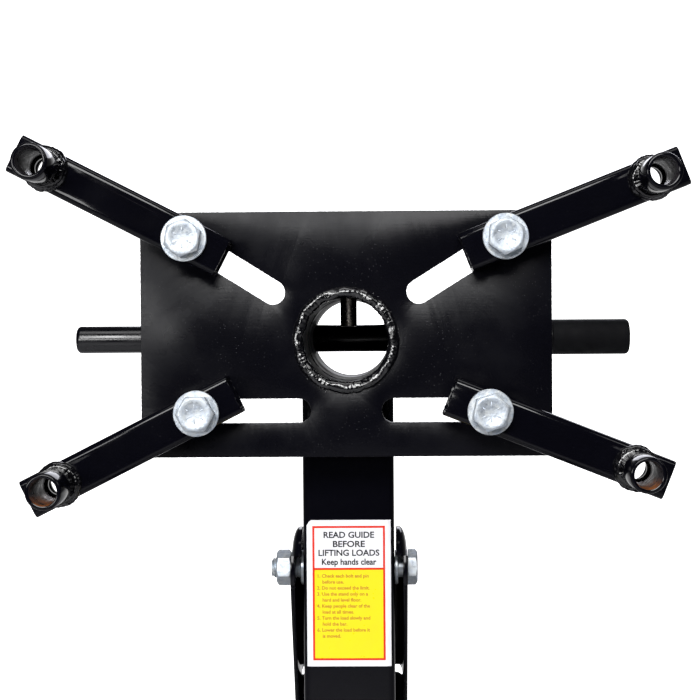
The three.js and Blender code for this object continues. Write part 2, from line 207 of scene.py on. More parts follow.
def zinc_plating(name, rough, tone, warm, stamped=False, metal=0.7):
    """Bright zinc: cool and warm patches, fine scratches and small dull spots."""
    n = Nodes(name)
    n.set(Metallic=metal)
    clouds = n.noise(260, 4, 0.65)
    colour = n.mix(n.remap(clouds, 0.35, 0.7, 0.0, 1.0), tone, warm)
    spots = n.remap(n.noise(430, 4, 0.65), 0.50, 0.66, 0.0, 0.75)
    n.drive("Base Color", n.mix(spots, colour, tuple(0.55 * c for c in tone)))
    scratch = n.noise(900, 2, 0.5, n.scaled(1, 0.08, 0.35))
    n.drive("Roughness", n.remap(n.math("ADD", clouds, n.math("MULTIPLY", scratch, 0.5)), 0.5, 1.1,
                                 rough * 0.7, rough * 1.5))
    layers = [(scratch, 0.15, 0.02), (n.noise(300, 3), 0.25, 0.05)]
    if stamped:
        layers.append((n.noise(520, 3, 0.5), 1.0, 0.2))
    n.bump(*layers)
    return n.material


def grip_rubber(name):
    """Matt black moulded rubber with a fine grain and a paler bloom."""
    n = Nodes(name)
    n.set(Metallic=0.0, IOR=1.5, Specular_IOR_Level=0.12)
    n.drive("Base Color", n.mix(n.noise(45, 4), (0.0026, 0.0027, 0.0035), (0.0058, 0.0060, 0.0075)))
    n.drive("Roughness", n.remap(n.noise(150, 3), 0.3, 0.7, 0.55, 0.78))
    n.bump((n.noise(1500, 3, 0.6), 0.35, 0.05), (n.noise(60, 2), 0.2, 0.12))
    return n.material


def moulded_plastic(name, colour=(0.013, 0.013, 0.014), rough=0.5):
    n = Nodes(name)
    n.set(Metallic=0.0, IOR=1.48)
    lighter = tuple(1.9 * c for c in colour)
    n.drive("Base Color", n.mix(n.noise(30, 4), colour, lighter))
    n.drive("Roughness", n.remap(n.noise(200, 3), 0.3, 0.7, rough * 0.85, rough * 1.2))
    n.bump((n.noise(1100, 3, 0.6), 0.3, 0.04),)
    return n.material


def tread_plastic(name):
    """Caster tread: dull, scuffed and dusty where it rolls."""
    n = Nodes(name)
    n.set(Metallic=0.0, IOR=1.48)
    scuffs = n.remap(n.noise(120, 5, 0.7), 0.48, 0.66, 0.0, 1.0)
    n.drive("Base Color", n.mix(scuffs, (0.016, 0.016, 0.017), (0.055, 0.053, 0.050)))
    n.drive("Roughness", n.remap(scuffs, 0.0, 1.0, 0.5, 0.8))
    n.bump((n.noise(500, 4, 0.7), 0.5, 0.12),)
    return n.material


def bore_paint(name, rust):
    """Inside of a sleeve: thin streaky enamel over bare steel, with rust along the floor of the bore."""
    n = Nodes(name)
    n.set(Metallic=0.15, IOR=1.5, Specular_IOR_Level=0.6)
    split = n.tree.nodes.new("ShaderNodeSeparateXYZ")
    n.link(n.coords.node.outputs["Normal"], split.inputs[0])
    floor_side = n.remap(split.outputs["Z"], 0.25, 0.85, 0.0, 0.5 + 0.5 * rust)
    streaks = n.remap(n.noise(170, 5, 0.7), 0.58 - 0.22 * rust, 0.72 - 0.14 * rust, 0.0, 1.0)
    under = (0.26, 0.085, 0.022) if rust else (0.15, 0.075, 0.04)
    n.drive("Base Color", n.mix(n.math("MULTIPLY", streaks, floor_side), (0.020, 0.018, 0.022), under))
    n.drive("Roughness", n.remap(n.noise(260, 3), 0.3, 0.7, 0.2, 0.5))
    n.bump((n.noise(420, 4, 0.65), 0.6, 0.15),)
    return n.material


def printed_vinyl(name, colour, fade=0.9, rough=0.32):
    """Label stock or its ink: slight mottling and a soft satin surface."""
    n = Nodes(name)
    n.set(Metallic=0.0, IOR=1.46, Coat_Weight=0.2, Coat_Roughness=0.2)
    n.drive("Base Color", n.mix(n.noise(120, 3), colour, tuple(fade * c for c in colour)))
    n.drive("Roughness", n.remap(n.noise(240, 3), 0.3, 0.7, rough * 0.85, rough * 1.2))
    n.bump((n.noise(90, 2), 0.12, 0.1),)
    return n.material


PAINT = gloss_paint("black_gloss_enamel")
PLATE = plate_paint("plate_enamel")
BAR_PAINT = gloss_paint("bar_enamel", 0.19, 0.25, 0.4, 0.5)
WELD = weld_paint("weld_enamel", 0.12)
GRITTY_WELD = weld_paint("gritty_weld_enamel", 0.8)
TUBE_INSIDE = gloss_paint("tube_inside_enamel", 0.40, 0.7, 0.2, 0.10)
ZINC = zinc_plating("zinc_plating", 0.4, (0.47, 0.53, 0.61), (0.56, 0.57, 0.56))
ZINC_TOP = zinc_plating("zinc_stamped_top", 0.5, (0.40, 0.45, 0.52), (0.46, 0.48, 0.48), True)
PIN_ZINC = zinc_plating("pin_zinc", 0.26, (0.62, 0.58, 0.52), (0.68, 0.62, 0.52), metal=1.0)
CASTER_ZINC = zinc_plating("caster_zinc", 0.36, (0.60, 0.61, 0.62), (0.66, 0.65, 0.61), metal=0.9)
RUBBER = grip_rubber("grip_rubber")
CAP = moulded_plastic("cap_plastic")
KNOB = moulded_plastic("knob_plastic", (0.011, 0.011, 0.012), 0.38)
WHEEL = moulded_plastic("wheel_plastic", (0.018, 0.018, 0.019), 0.42)
TREAD = tread_plastic("wheel_tread")
BORE = bore_paint("sleeve_bore", 0.0)
RUSTY_BORE = bore_paint("sleeve_bore_rusty", 1.0)
# The CAD slot that each finish stands for.
SLOT_OF = {PAINT: "black_paint", BAR_PAINT: "black_paint", WELD: "black_paint", GRITTY_WELD: "black_paint",
           PLATE: "plate_coat", ZINC: "zinc", ZINC_TOP: "zinc", PIN_ZINC: "zinc", CASTER_ZINC: "caster_steel",
           RUBBER: "grip_rubber", CAP: "cap_plastic", KNOB: "cap_plastic"}


# ---- Mesh making ---------------------------------------------------------------------------
def frame_at(x, y, z, axis="Z"):
    """Matrix that puts a piece at a point with its local +Z along one of the frame's axes."""
    return Matrix.Translation((x, y, z)) @ AXES[axis]


def add_mesh(name, verts, faces, material, place=None, slots=None, angle=34.0):
    """Object from millimetre vertices. With several materials, slots has each face's material index."""
    mesh = bpy.data.meshes.new(name)
    mesh.from_pydata([tuple(v) for v in verts], [], [tuple(f) for f in faces])
    for m in material if isinstance(material, list) else [material]:
        mesh.materials.append(m)
    if slots is not None:
        mesh.polygons.foreach_set("material_index", np.array(slots, np.int32))
    mesh.transform(Matrix.Scale(M, 4) @ (place or Matrix.Identity(4)))
    work = bmesh.new()
    work.from_mesh(mesh)
    bmesh.ops.remove_doubles(work, verts=work.verts, dist=1e-7)
    bmesh.ops.recalc_face_normals(work, faces=work.faces)
    work.to_mesh(mesh)
    work.free()
    obj = bpy.data.objects.new(name, mesh)
    bpy.context.scene.collection.objects.link(obj)
    smooth(obj, angle)
    return obj


def smooth(obj, angle):
    obj.data.shade_smooth()
    obj.data.set_sharp_from_angle(angle=math.radians(angle))


def settle(obj, body, slot, *nodes):
    """The piece rides on a body and stands for CAD nodes, which it hides. Its slot is not used."""
    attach(obj, body)
    if nodes:
        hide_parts(*nodes)


def piece(name, shell, material, place, body, *nodes, angle=34.0):
    """A piece of one finish that needs no cutting."""
    settle(add_mesh(name, *shell, material, place, angle=angle), body, SLOT_OF[material], *nodes)


def loft(sections, closed=False, cap=True):
    """Faces through equal loops of points. closed joins the last loop to the first, as on a hollow tube."""
    sections = [np.asarray(s, float) for s in sections]
    count = len(sections[0])
    verts = np.concatenate(sections)
    faces = []
    pairs = list(zip(range(len(sections) - 1), range(1, len(sections))))
    if closed:
        pairs.append((len(sections) - 1, 0))
    for a, b in pairs:
        for i in range(count):
            j = (i + 1) % count
            faces.append((a * count + i, a * count + j, b * count + j, b * count + i))
    if cap and not closed:
        faces.append(tuple(reversed(range(count))))
        faces.append(tuple((len(sections) - 1) * count + i for i in range(count)))
    return verts, faces


def circle(radius, z, count):
    angles = np.arange(count) * 2 * math.pi / count
    return np.stack([radius * np.cos(angles), radius * np.sin(angles), np.full(count, z)], 1)


def revolve(profile, count=48, closed=False):
    """Turned body from (radius, height) pairs; an open profile is capped at both ends."""
    return loft([circle(r, z, count) for r, z in profile], closed=closed)


def pipe_profile(outer, inner, length, soft):
    """Closed (radius, height) profile of a pipe with softened ends."""
    return [(outer - soft, 0), (outer, soft), (outer, length - soft), (outer - soft, length),
            (inner + soft, length), (inner, length - soft), (inner, soft), (inner + soft, 0)]


def round_rect(width, height, radius, steps=6, side=1):
    """Closed loop of a rectangle with round corners, as (x, y) pairs; side splits each straight edge."""
    points = []
    for cx, cy, start in ((1, 1, 0), (-1, 1, 90), (-1, -1, 180), (1, -1, 270)):
        for i in range(steps + 1):
            a = math.radians(start + 90 * i / steps)
            points.append((cx * (width / 2 - radius) + radius * math.cos(a),
                           cy * (height / 2 - radius) + radius * math.sin(a)))
    points = np.array(points)
    dense = []
    for i, point in enumerate(points):
        dense.append(point)
        if i % (steps + 1) == steps:
            after = points[(i + 1) % len(points)]
            dense += [point * (1 - t) + after * t for t in np.arange(1, side) / side]
    return np.array(dense)


def at_height(loop, z):
    return np.column_stack([loop, np.full(len(loop), z)])


def box_tube(width, depth, wall, corner, length, lip=0.5, steps=6, side=1, ragged=0.0, seed=0.0):
    """Hollow rectangular tube with round corners and softened ends, from z = 0 upwards.

    ragged moves the edge at z = 0 up and down a little, as an unfinished saw cut is.
    """
    inner = max(corner - wall, 0.8)

    def outer_loop(inset, z):
        return at_height(round_rect(width - 2 * inset, depth - 2 * inset, corner - inset, steps, side), z)

    def inner_loop(inset, z):
        gap = 2 * (wall - inset)
        return at_height(round_rect(width - gap, depth - gap, inner + inset, steps, side), z)

    bevel = lip * 0.3
    sections = [outer_loop(lip, 0), outer_loop(bevel, bevel), outer_loop(0, lip), outer_loop(0, length - lip),
                outer_loop(bevel, length - bevel), outer_loop(lip, length), inner_loop(lip * 0.6, length),
                inner_loop(0, length - lip), inner_loop(0, lip), inner_loop(lip * 0.6, 0)]
    if ragged:
        for i in (0, 1, 2, -2, -1):
            for p in sections[i]:
                wave = noise(Vector((p[0] * 0.5, p[1] * 0.5, seed)))
                p[2] += ragged * (0.6 * wave + 0.5 * noise(Vector((p[0] * 1.7, p[1] * 1.7, seed + 9))))
    return loft(sections, closed=True)


def offset_loop(loop, distance):
    """Moves a closed (x, y) loop towards its inside (for a counter-clockwise loop) by a distance."""
    before = loop - np.roll(loop, 1, 0)
    after = np.roll(loop, -1, 0) - loop

    def left(v):
        size = np.maximum(np.linalg.norm(v, axis=1, keepdims=True), 1e-9)
        return np.column_stack([-v[:, 1], v[:, 0]]) / size

    normal = left(before) + left(after)
    normal /= np.maximum(np.linalg.norm(normal, axis=1, keepdims=True), 1e-9)
    return loop + distance * normal


def signed_area(loop):
    x, y = loop[:, 0], loop[:, 1]
    return 0.5 * float(np.sum(x * np.roll(y, -1) - np.roll(x, -1) * y))


def inside(loop, points):
    """Even-odd test of points against one closed loop."""
    result = np.zeros(len(points), bool)
    for (x0, y0), (x1, y1) in zip(loop, np.roll(loop, -1, 0)):
        if y0 == y1:
            continue
        crosses = (points[:, 1] > min(y0, y1)) & (points[:, 1] <= max(y0, y1))
        x_at = x0 + (points[:, 1] - y0) * (x1 - x0) / (y1 - y0)
        result ^= crosses & (points[:, 0] < x_at)
    return result


def cut_plate(outline, holes, thick, edge):
    """Plate from z = 0 to thick with softened edges, from an outline and holes given as (x, y) loops."""
    loops = [outline if signed_area(outline) > 0 else outline[::-1]]
    loops += [h if signed_area(h) < 0 else h[::-1] for h in holes]
    verts, faces, rims = [], [], []
    for loop in loops:
        inset = offset_loop(loop, edge)
        bevelled, rise = offset_loop(loop, edge * 0.3), edge * 0.3
        rings = [at_height(ring, z) for ring, z in
                 ((inset, 0), (bevelled, rise), (loop, edge), (loop, thick - edge), (bevelled, thick - rise),
                  (inset, thick))]
        ring_verts, ring_faces = loft(rings, cap=False)
        base = sum(len(v) for v in verts)
        verts.append(ring_verts)
        faces += [tuple(base + i for i in f) for f in ring_faces]
        rims.append((base, len(loop), base + 5 * len(loop)))
    flat = np.concatenate([offset_loop(loop, edge) for loop in loops])
    edges, start = [], 0
    for loop in loops:
        edges += [(start + i, start + (i + 1) % len(loop)) for i in range(len(loop))]
        start += len(loop)
    _, _, triangles, origin, _, _ = delaunay_2d_cdt([Vector(p) for p in flat], edges, [], 0, 1e-6)
    low_index = np.concatenate([np.arange(count) + base for base, count, _ in rims])
    high_index = np.concatenate([np.arange(count) + top for _, count, top in rims])
    source = [o[0] for o in origin]
    corners = np.array([[source[i] for i in t] for t in triangles])
    centres = flat[corners].mean(1)
    keep = inside(offset_loop(loops[0], edge), centres)
    for hole in loops[1:]:
        keep &= ~inside(offset_loop(hole, edge), centres)
    for triangle in corners[keep]:
        faces.append(tuple(int(low_index[i]) for i in triangle[::-1]))
        faces.append(tuple(int(high_index[i]) for i in triangle))
    return np.concatenate(verts), faces


def arc(cx, cy, radius, start, end, count):
    angles = np.radians(np.linspace(start, end, count))
    return np.column_stack([cx + radius * np.cos(angles), cy + radius * np.sin(angles)])


def ring_hole(cx, cy, radius, count=40):
    return arc(cx, cy, radius, 0, 360, count + 1)[:-1]


def slot_loop(a, b, half):
    """Closed loop of a slot between two centres."""
    angle = math.degrees(math.atan2(b[1] - a[1], b[0] - a[0]))
    return np.concatenate([arc(*b, half, angle - 90, angle + 90, 14),
                           arc(*a, half, angle + 90, angle + 270, 14)])


def roughen(loop, spacing, depth, seed):
    """Puts points along a loop at a spacing and pushes each in or out a little, as a torch-cut edge is."""
    points = []
    for a, b in zip(loop, np.roll(loop, -1, 0)):
        steps = max(int(np.linalg.norm(b - a) / spacing), 1)
        points += [a + (b - a) * i / steps for i in range(steps)]
    points = np.array(points)
    fine = np.array([noise(Vector((x * 1.6, y * 1.6, seed))) for x, y in points])
    slow = np.array([noise(Vector((x * 0.3, y * 0.3, seed + 5))) for x, y in points])
    inwards = offset_loop(points, 1.0) - points
    return points + inwards * (depth * (fine + 0.3 * slow))[:, None]


def carve(obj, *cutters):
    """Cuts closed solids out of a piece and throws the cutters away."""
    for cutter in cutters:
        modifier = obj.modifiers.new("cut", "BOOLEAN")
        modifier.operation = "DIFFERENCE"
        modifier.solver = "EXACT"
        modifier.object = cutter
    bpy.context.view_layer.update()
    evaluated = obj.evaluated_get(bpy.context.evaluated_depsgraph_get())
    mesh = bpy.data.meshes.new_from_object(evaluated)
    obj.modifiers.clear()
    obj.data = mesh
    mesh.name = obj.name
    for cutter in cutters:
        bpy.data.objects.remove(cutter)
    smooth(obj, 34.0)
    return obj


def rod_cutter(radius, length, place, count=40):
    rod = loft([circle(radius, -length / 2, count), circle(radius, length / 2, count)])
    return add_mesh("cutter", *rod, PAINT, place)


# ---- Welds ---------------------------------------------------------------------------------
SCALE_PITCH = 2.6               # length of one scale of a weld bead


def ripple(distance, seed):
    """Height of the overlapping scales of a weld bead along its length, from 0 to about 1."""
    scale = (distance / SCALE_PITCH + 0.35 * noise(Vector((distance * 0.12, seed, 0.0)))) % 1.0
    return 0.55 * (1 - scale) ** 0.7 + 0.45 * (0.5 + noise(Vector((distance * 0.33, seed, 3.0))))


def weld_path(name, points, outwards, radius, body, closed=False, seed=1.0, coat=WELD, squash=0.75,
              lumps=0.35, around=14, spacing=0.8):
    """Bead along a polyline in millimetres. outwards gives the bead's free direction at each point."""
    points = [np.array(p, float) for p in points]
    outwards = [np.array(o, float) / np.linalg.norm(o) for o in outwards]
    pairs = list(zip(range(len(points)), range(1, len(points))))
    if closed:
        pairs.append((len(points) - 1, 0))
    dense, free = [], []
    for a, b in pairs:
        steps = max(int(np.linalg.norm(points[b] - points[a]) / spacing), 1)
        for i in range(steps):
            t = i / steps
            dense.append(points[a] * (1 - t) + points[b] * t)
            free.append(outwards[a] * (1 - t) + outwards[b] * t)
    if not closed:
        dense.append(points[-1])
        free.append(outwards[-1])
    total = len(dense)
    sections, travelled = [], 0.0
    for i, centre in enumerate(dense):
        nxt = dense[(i + 1) % total] if closed or i < total - 1 else centre
        prv = dense[i - 1] if closed or i > 0 else centre
        along = (nxt - prv) / max(np.linalg.norm(nxt - prv), 1e-9)
        up = free[i] - along * np.dot(free[i], along)
        up /= max(np.linalg.norm(up), 1e-9)
        side = np.cross(along, up)
        travelled += np.linalg.norm(centre - prv)
        end = 1.0 if closed else min(1.0, (0.25 + min(i, total - 1 - i) * spacing / radius) ** 0.5)
        size = radius * end * (0.86 + 0.22 * ripple(travelled, seed))
        ring = []
        for k in range(around):
            a = 2 * math.pi * k / around
            bump = 1 + lumps * 0.5 * noise(Vector((centre[0] * 0.16 + seed, centre[1] * 0.16 + math.cos(a),
                                                   centre[2] * 0.16 + math.sin(a))))
            ring.append(centre + size * bump * (math.cos(a) * side + squash * math.sin(a) * up))
        sections.append(ring)
    piece(name, loft(sections, closed=closed), coat, None, body, angle=70)


def weld_ring(name, centre, radius, bead, body, seed, free, squash, lumps, wander, coat=WELD):
    """Bead round a circle about +Y. free weighs the radial and axial directions of its open side."""
    count = max(int(2 * math.pi * radius / 1.2), 24)
    turn = AXES["Y"].to_3x3()
    forward = np.array(turn @ Vector((0, 0, 1)))
    points, outwards = [], []
    for a in np.arange(count) * 2 * math.pi / count:
        radial = np.array(turn @ Vector((math.cos(a), math.sin(a), 0)))
        shift = wander * noise(Vector((2.2 * math.cos(a), 2.2 * math.sin(a), seed)))
        points.append(np.array(centre) + radial * (radius + shift))
        outwards.append(free[0] * radial + free[1] * forward)
    weld_path(name, points, outwards, bead, body, True, seed, coat, squash, lumps, 18, 0.6)


# ---- Fasteners -----------------------------------------------------------------------------
def hex_radius(angle, flats):
    """Distance from a hexagon's centre to its edge, with slightly eased corners."""
    off = (angle + math.pi / 6) % (math.pi / 3) - math.pi / 6
    return min(flats / 2 / math.cos(off), flats / 2 * 1.145)


def hexagon(flats, height, both_ends=False, bore=0.0):
    """Hexagon along +Z with the cone-cut corners of a turned bar, from z = 0 to its height."""
    columns = 72
    angles = np.arange(columns) * 2 * math.pi / columns
    radii = np.array([hex_radius(a, flats) for a in angles])
    crown = flats / 2 * 0.94
    fall = np.maximum(radii - crown, 0) * math.tan(math.radians(30))

    def ring(radius, z):
        radius, z = np.broadcast_to(radius, columns), np.broadcast_to(z, columns)
        return np.column_stack([radius * np.cos(angles), radius * np.sin(angles), z])

    sections = [ring(crown, 0), ring(radii - 0.15, fall), ring(radii, fall + 0.15)] if both_ends else \
        [ring(radii - 0.25, 0), ring(radii, 0.25)]
    sections += [ring(radii, height - fall - 0.15), ring(radii - 0.15, height - fall), ring(crown, height)]
    if bore:
        sections += [ring(bore + 0.8, height), ring(bore, height - 0.8), ring(bore, 0.8), ring(bore + 0.8, 0)]
        return loft(sections, closed=True)
    sections += [ring(crown - 0.5, height + 0.04), ring(crown * 0.72, height + 0.02),
                 ring(crown * 0.68, height - 0.22)]
    return loft(sections)


def threaded(radius, low_z, high_z, pitch=2.0):
    """Rod along Z with a helical thread and tapered ends."""
    depth, columns, rows = 0.95, 28, 8
    sections = []
    steps = max(int((high_z - low_z) / pitch * rows), 4)
    angles = np.arange(columns) * 2 * math.pi / columns
    for i in range(steps + 1):
        z = low_z + (high_z - low_z) * i / steps
        turn = (z / pitch - angles / (2 * math.pi)) % 1.0
        ridge = np.clip(2.6 * np.abs(turn - 0.5) - 0.15, 0, 1)
        taper = min(high_z - z, z - low_z) / 1.6
        r = radius - depth * ridge - max(0.0, 1.4 * (1 - taper))
        sections.append(np.column_stack([r * np.cos(angles), r * np.sin(angles), np.full(columns, z)]))
    return loft(sections)


def joined(*shells):
    """Several closed shells as one set of vertices and faces."""
    verts, faces, base = [], [], 0
    for shell_verts, shell_faces in shells:
        verts.append(np.asarray(shell_verts, float))
        faces += [tuple(base + i for i in f) for f in shell_faces]
        base += len(shell_verts)
    return np.concatenate(verts), faces


def moved(shell, x=0.0, y=0.0, z=0.0, turn=0.0):
    a = math.radians(turn)
    verts = np.asarray(shell[0], float)
    spun = np.column_stack([verts[:, 0] * math.cos(a) - verts[:, 1] * math.sin(a),
                            verts[:, 0] * math.sin(a) + verts[:, 1] * math.cos(a), verts[:, 2]])
    return spun + np.array([x, y, z]), shell[1]


def bolt_shell(flats, head, shank, length, thread, turn):
    """Hex bolt whose seat is z = 0: the head stands up and the shank runs down."""
    ticks = [moved(moved(lozenge(1.5 + 0.5 * (i % 2), 0.42, 0.3), x=flats * 0.235, z=head - 0.24),
                   turn=60 * i + 30) for i in range(6)]
    plain = loft([circle(shank, 0.5, 40), circle(shank, thread - length + 0.8, 40),
                  circle(shank - 0.9, thread - length, 40)])
    return joined(moved(hexagon(flats, head), turn=turn), plain, threaded(shank, -length, thread - length),
                  *ticks)


def lozenge(half, width, height):
    """Low raised bar along X, rounded like a forged mark."""
    sections = []
    for step in np.linspace(-1, 1, 9):
        size = math.sqrt(max(1 - step ** 2, 0.02))
        sections.append([(half * step, width * size * math.cos(a), height * size * max(math.sin(a), -0.3))
                         for a in np.arange(10) * 2 * math.pi / 10])
    return loft(sections)


def washer_shell(outer, inner, thick):
    return revolve(pipe_profile(outer, inner, thick, 0.35), 56, True)


# ---- Frame: post, collar, brace ------------------------------------------------------------
POST = middle("post")
POST_FOOT = low("post")[2]
POST_HALF = high("post")[0]
POST_FRONT = low("post")[1]
BOLT_Z = middle("brace_bolt")[2]
COLLAR_RADIUS = high("head_collar")[0]
HEAD_TUBE_RADIUS = high("head_tube")[0]
TUBE_WALL, TUBE_CORNER = 3.0, 5.0
SHANK, HOLE, FLATS = 7.0, 7.4, 21     # M14 bolts: half the shank, half its hole, across the flats
LEAN = math.radians(28)
# The brace's local +Z runs down and back from the through bolt.
BRACE_BODY = Matrix.Translation((0, POST[1], BOLT_Z)) @ Matrix.Rotation(math.pi + LEAN, 4, "X")
# Stands a cut plate upright: its x and y become +Y and +Z, and its thickness becomes +X.
STAND_X = Matrix(((0, 0, 1, 0), (1, 0, 0, 0), (0, 1, 0, 0), (0, 0, 0, 1)))
SIDES = (("left", -1), ("right", 1))


def square_tube(name, width, depth, length, place):
    return add_mesh(name, *box_tube(width, depth, TUBE_WALL, TUBE_CORNER, length), PAINT, place)


def make_post():
    place = frame_at(0, POST[1], POST_FOOT)
    tube = square_tube("post_tube", 2 * POST_HALF, 2 * POST_HALF, AXIS_Z - POST_FOOT, place)
    saddle = rod_cutter(COLLAR_RADIUS + 0.2, 200, frame_at(0, POST[1], AXIS_Z, "Y"), 96)
    bore = rod_cutter(HOLE, 200, frame_at(0, POST[1], BOLT_Z, "X"))
    settle(carve(tube, saddle, bore), "frame", "black_paint", "post")

    def under_collar(x, sink):
        return AXIS_Z - math.sqrt(COLLAR_RADIUS ** 2 - x ** 2) - sink

    for side, along, across in ((-1, "left", "front"), (1, "right", "back")):
        points = [(side * 30.4, POST[1] + y, under_collar(30.4, 0.8)) for y in np.linspace(-27, 27, 12)]
        weld_path(f"post_collar_weld_{along}", points, [(side, 0, -0.4)] * 12, 3.0, "frame", seed=11 + side)
        reach = np.linspace(-28, 28, 26)
        points = [(x, POST[1] + side * 30.6, under_collar(x, 0.4)) for x in reach]
        free = [(-x / 40, side, -0.5) for x in reach]
        weld_path(f"post_collar_weld_{across}", points, free, 2.8, "frame", seed=15 + side)
    loop = round_rect(61.5, 61.5, 5.0, 4)
    points = [(x, POST[1] + y, POST_FOOT + 0.4) for x, y in loop]
    free = [np.array([x, y, 0]) / np.linalg.norm([x, y]) + np.array([0, 0, 1]) for x, y in loop]
    weld_path("post_foot_weld", points, free, 3.4, "frame", True, 4.0)


def make_collar():
    lo, hi = low("head_collar"), high("head_collar")
    profile = pipe_profile(COLLAR_RADIUS, HEAD_TUBE_RADIUS + 0.4, hi[1] - lo[1], 0.7)
    collar = add_mesh("head_collar_sleeve", *revolve(profile, 96, True), PAINT,
                      frame_at(0, lo[1], AXIS_Z, "Y"))
    pin_y = middle("lock_pin")[1]
    hole = rod_cutter(6.1, 30, frame_at(0, pin_y, AXIS_Z + COLLAR_RADIUS))
    settle(carve(collar, hole), "frame", "black_paint", "head_collar")
    boss = revolve([(9.5, -2), (9.5, 5.4), (8.9, 6), (6.7, 6), (6.1, 5.4), (6.1, -2)], 48, True)
    piece("lock_pin_boss", boss, PAINT, frame_at(0, pin_y, AXIS_Z + COLLAR_RADIUS + 0.2), "frame")
    points, free = [], []
    for a in np.arange(40) * 2 * math.pi / 40:
        x, y = 10.6 * math.cos(a), 10.6 * math.sin(a)
        points.append((x, pin_y + y, AXIS_Z + math.sqrt(COLLAR_RADIUS ** 2 - x ** 2) + 0.5))
        free.append((math.cos(a), math.sin(a), 1.2))
    weld_path("lock_pin_boss_weld", points, free, 2.0, "frame", True, 21.0)


def make_brace():
    start = 106.0
    beam_top = high("rear_beam")[2]
    drop = BOLT_Z - beam_top
    length = drop / math.cos(LEAN) + 40 - start
    tube = square_tube("brace_tube", 70.8, 40, length, BRACE_BODY @ Matrix.Translation((0, 0, start)))
    foot_y = POST[1] + drop * math.tan(LEAN)
    ground = loft([at_height(round_rect(200, 400, 1, 1), z) for z in (-200, 0)])
    below = add_mesh("cutter", *ground, PAINT, frame_at(0, foot_y, beam_top + 0.3))
    settle(carve(tube, below), "frame", "black_paint", "brace")
    half = 20 / math.cos(LEAN) + 0.6
    for name, side in (("front", -1), ("back", 1)):
        points = [(x, foot_y + side * half, beam_top + 0.6) for x in np.linspace(-27, 27, 20)]
        weld_path(f"brace_foot_weld_{name}", points, [(0, side, 1)] * 20, 3.4, "frame", seed=30 + side)
    for name, side in SIDES:
        reach = np.linspace(-half + 2, half - 2, 16)
        points = [(side * 30.8, foot_y + y, beam_top - 2.6) for y in reach]
        weld_path(f"brace_foot_weld_{name}", points, [(side, 0, -1)] * 16, 2.8, "frame", seed=34 + side)


def make_ears():
    """Pressed ears: flat sides with a dished, turned-in rim that runs over the top and down the back.

    In their own plane x runs across the brace and y down it, and the through bolt is at the origin.
    """
    radius, flat, inside, thick, lip_end = 27.5, 9.0, 35.7, 3.0, 100.0
    span = radius - flat
    step = math.radians(308.4)
    step_degrees, right_degrees = np.degrees([step, 2 * math.pi])

    def rear_edge(z):
        return -radius + np.maximum(z - 27.5, 0) * 8.5 / 140.5

    corner = rear_edge(lip_end)
    outline = np.concatenate([arc(0, 0, radius, step_degrees, right_degrees, 16),
                              [(radius, 27.5), (19, 168), (-19, 168), (corner, lip_end),
                               (corner + span, lip_end), (-flat, 27.5)],
                              arc(0, 0, flat, 180, step_degrees, 28)])
    verts, faces = cut_plate(outline, [ring_hole(0, 0, HOLE)], thick, 0.5)
    size = np.hypot(verts[:, 0], verts[:, 1])
    angle = np.arctan2(verts[:, 1], verts[:, 0]) % (2 * math.pi)
    snap = (size > 8.2) & (size < 9.2) & (angle > math.pi - 0.02) & (angle < step + 0.02)
    verts[snap, :2] *= (flat / size[snap])[:, None]
    join = rear_edge(verts[:, 1]) + span
    snap = (np.abs(verts[:, 0] - join) < 0.8) & (verts[:, 1] > 0) & (verts[:, 1] < lip_end - 0.01)
    verts[snap, 0] = join[snap]
    bend = np.radians(np.linspace(0, 90, 12))
    profile = [(flat + span * math.sin(b), 33.2 + 5.5 * math.cos(b)) for b in bend]
    profile += [(radius, 31.8), (radius - 0.5, 31.2), (radius - 2.5, 31.2), (radius - 3, 31.8)]
    profile += [(flat + (span - 3) * math.sin(b), 33.2 + 2.5 * math.cos(b)) for b in bend[::-1]]
    sections = [[(rear_edge(z) + radius - r, z, x - inside) for r, x in profile]
                for z in np.linspace(lip_end, 2, 30)]
    sections += [[(r * math.cos(a), r * math.sin(a), x - inside) for r, x in profile]
                 for a in np.linspace(math.pi, step, 48)]
    shell = joined((verts, faces), loft(sections))
    for name, side in SIDES:
        mirror = Matrix.Diagonal((side, 1, 1, 1))
        place = BRACE_BODY @ mirror @ Matrix.Translation((inside, 0, 0)) @ STAND_X
        piece(f"brace_ear_{name}_pressing", shell, PAINT, place, "frame", f"brace_ear_{name}")
        for edge in (-1, 1):
            down = np.linspace(0, 1, 24)
            across = [min(max(edge * (23 - 4 * t), -18.5), 18.5) for t in down]
            points = [BRACE_BODY @ Vector((side * 36.2, y, 108 + 58 * t)) for y, t in zip(across, down)]
            free = [BRACE_BODY.to_3x3() @ Vector((side, edge * 0.8, 0))] * 24
            weld_path(f"brace_ear_{name}_weld_{'a' if edge < 0 else 'b'}", points, free, 2.4, "frame",
                      seed=40 + 3 * side + edge)
    web = loft([[(x, rear_edge(z) + y, z) for x, y in ((-31.4, 0), (31.4, 0), (31.4, 3), (-31.4, 3))]
                for z in np.linspace(19.5, lip_end, 24)])
    piece("brace_channel_web", web, PAINT, BRACE_BODY, "frame")


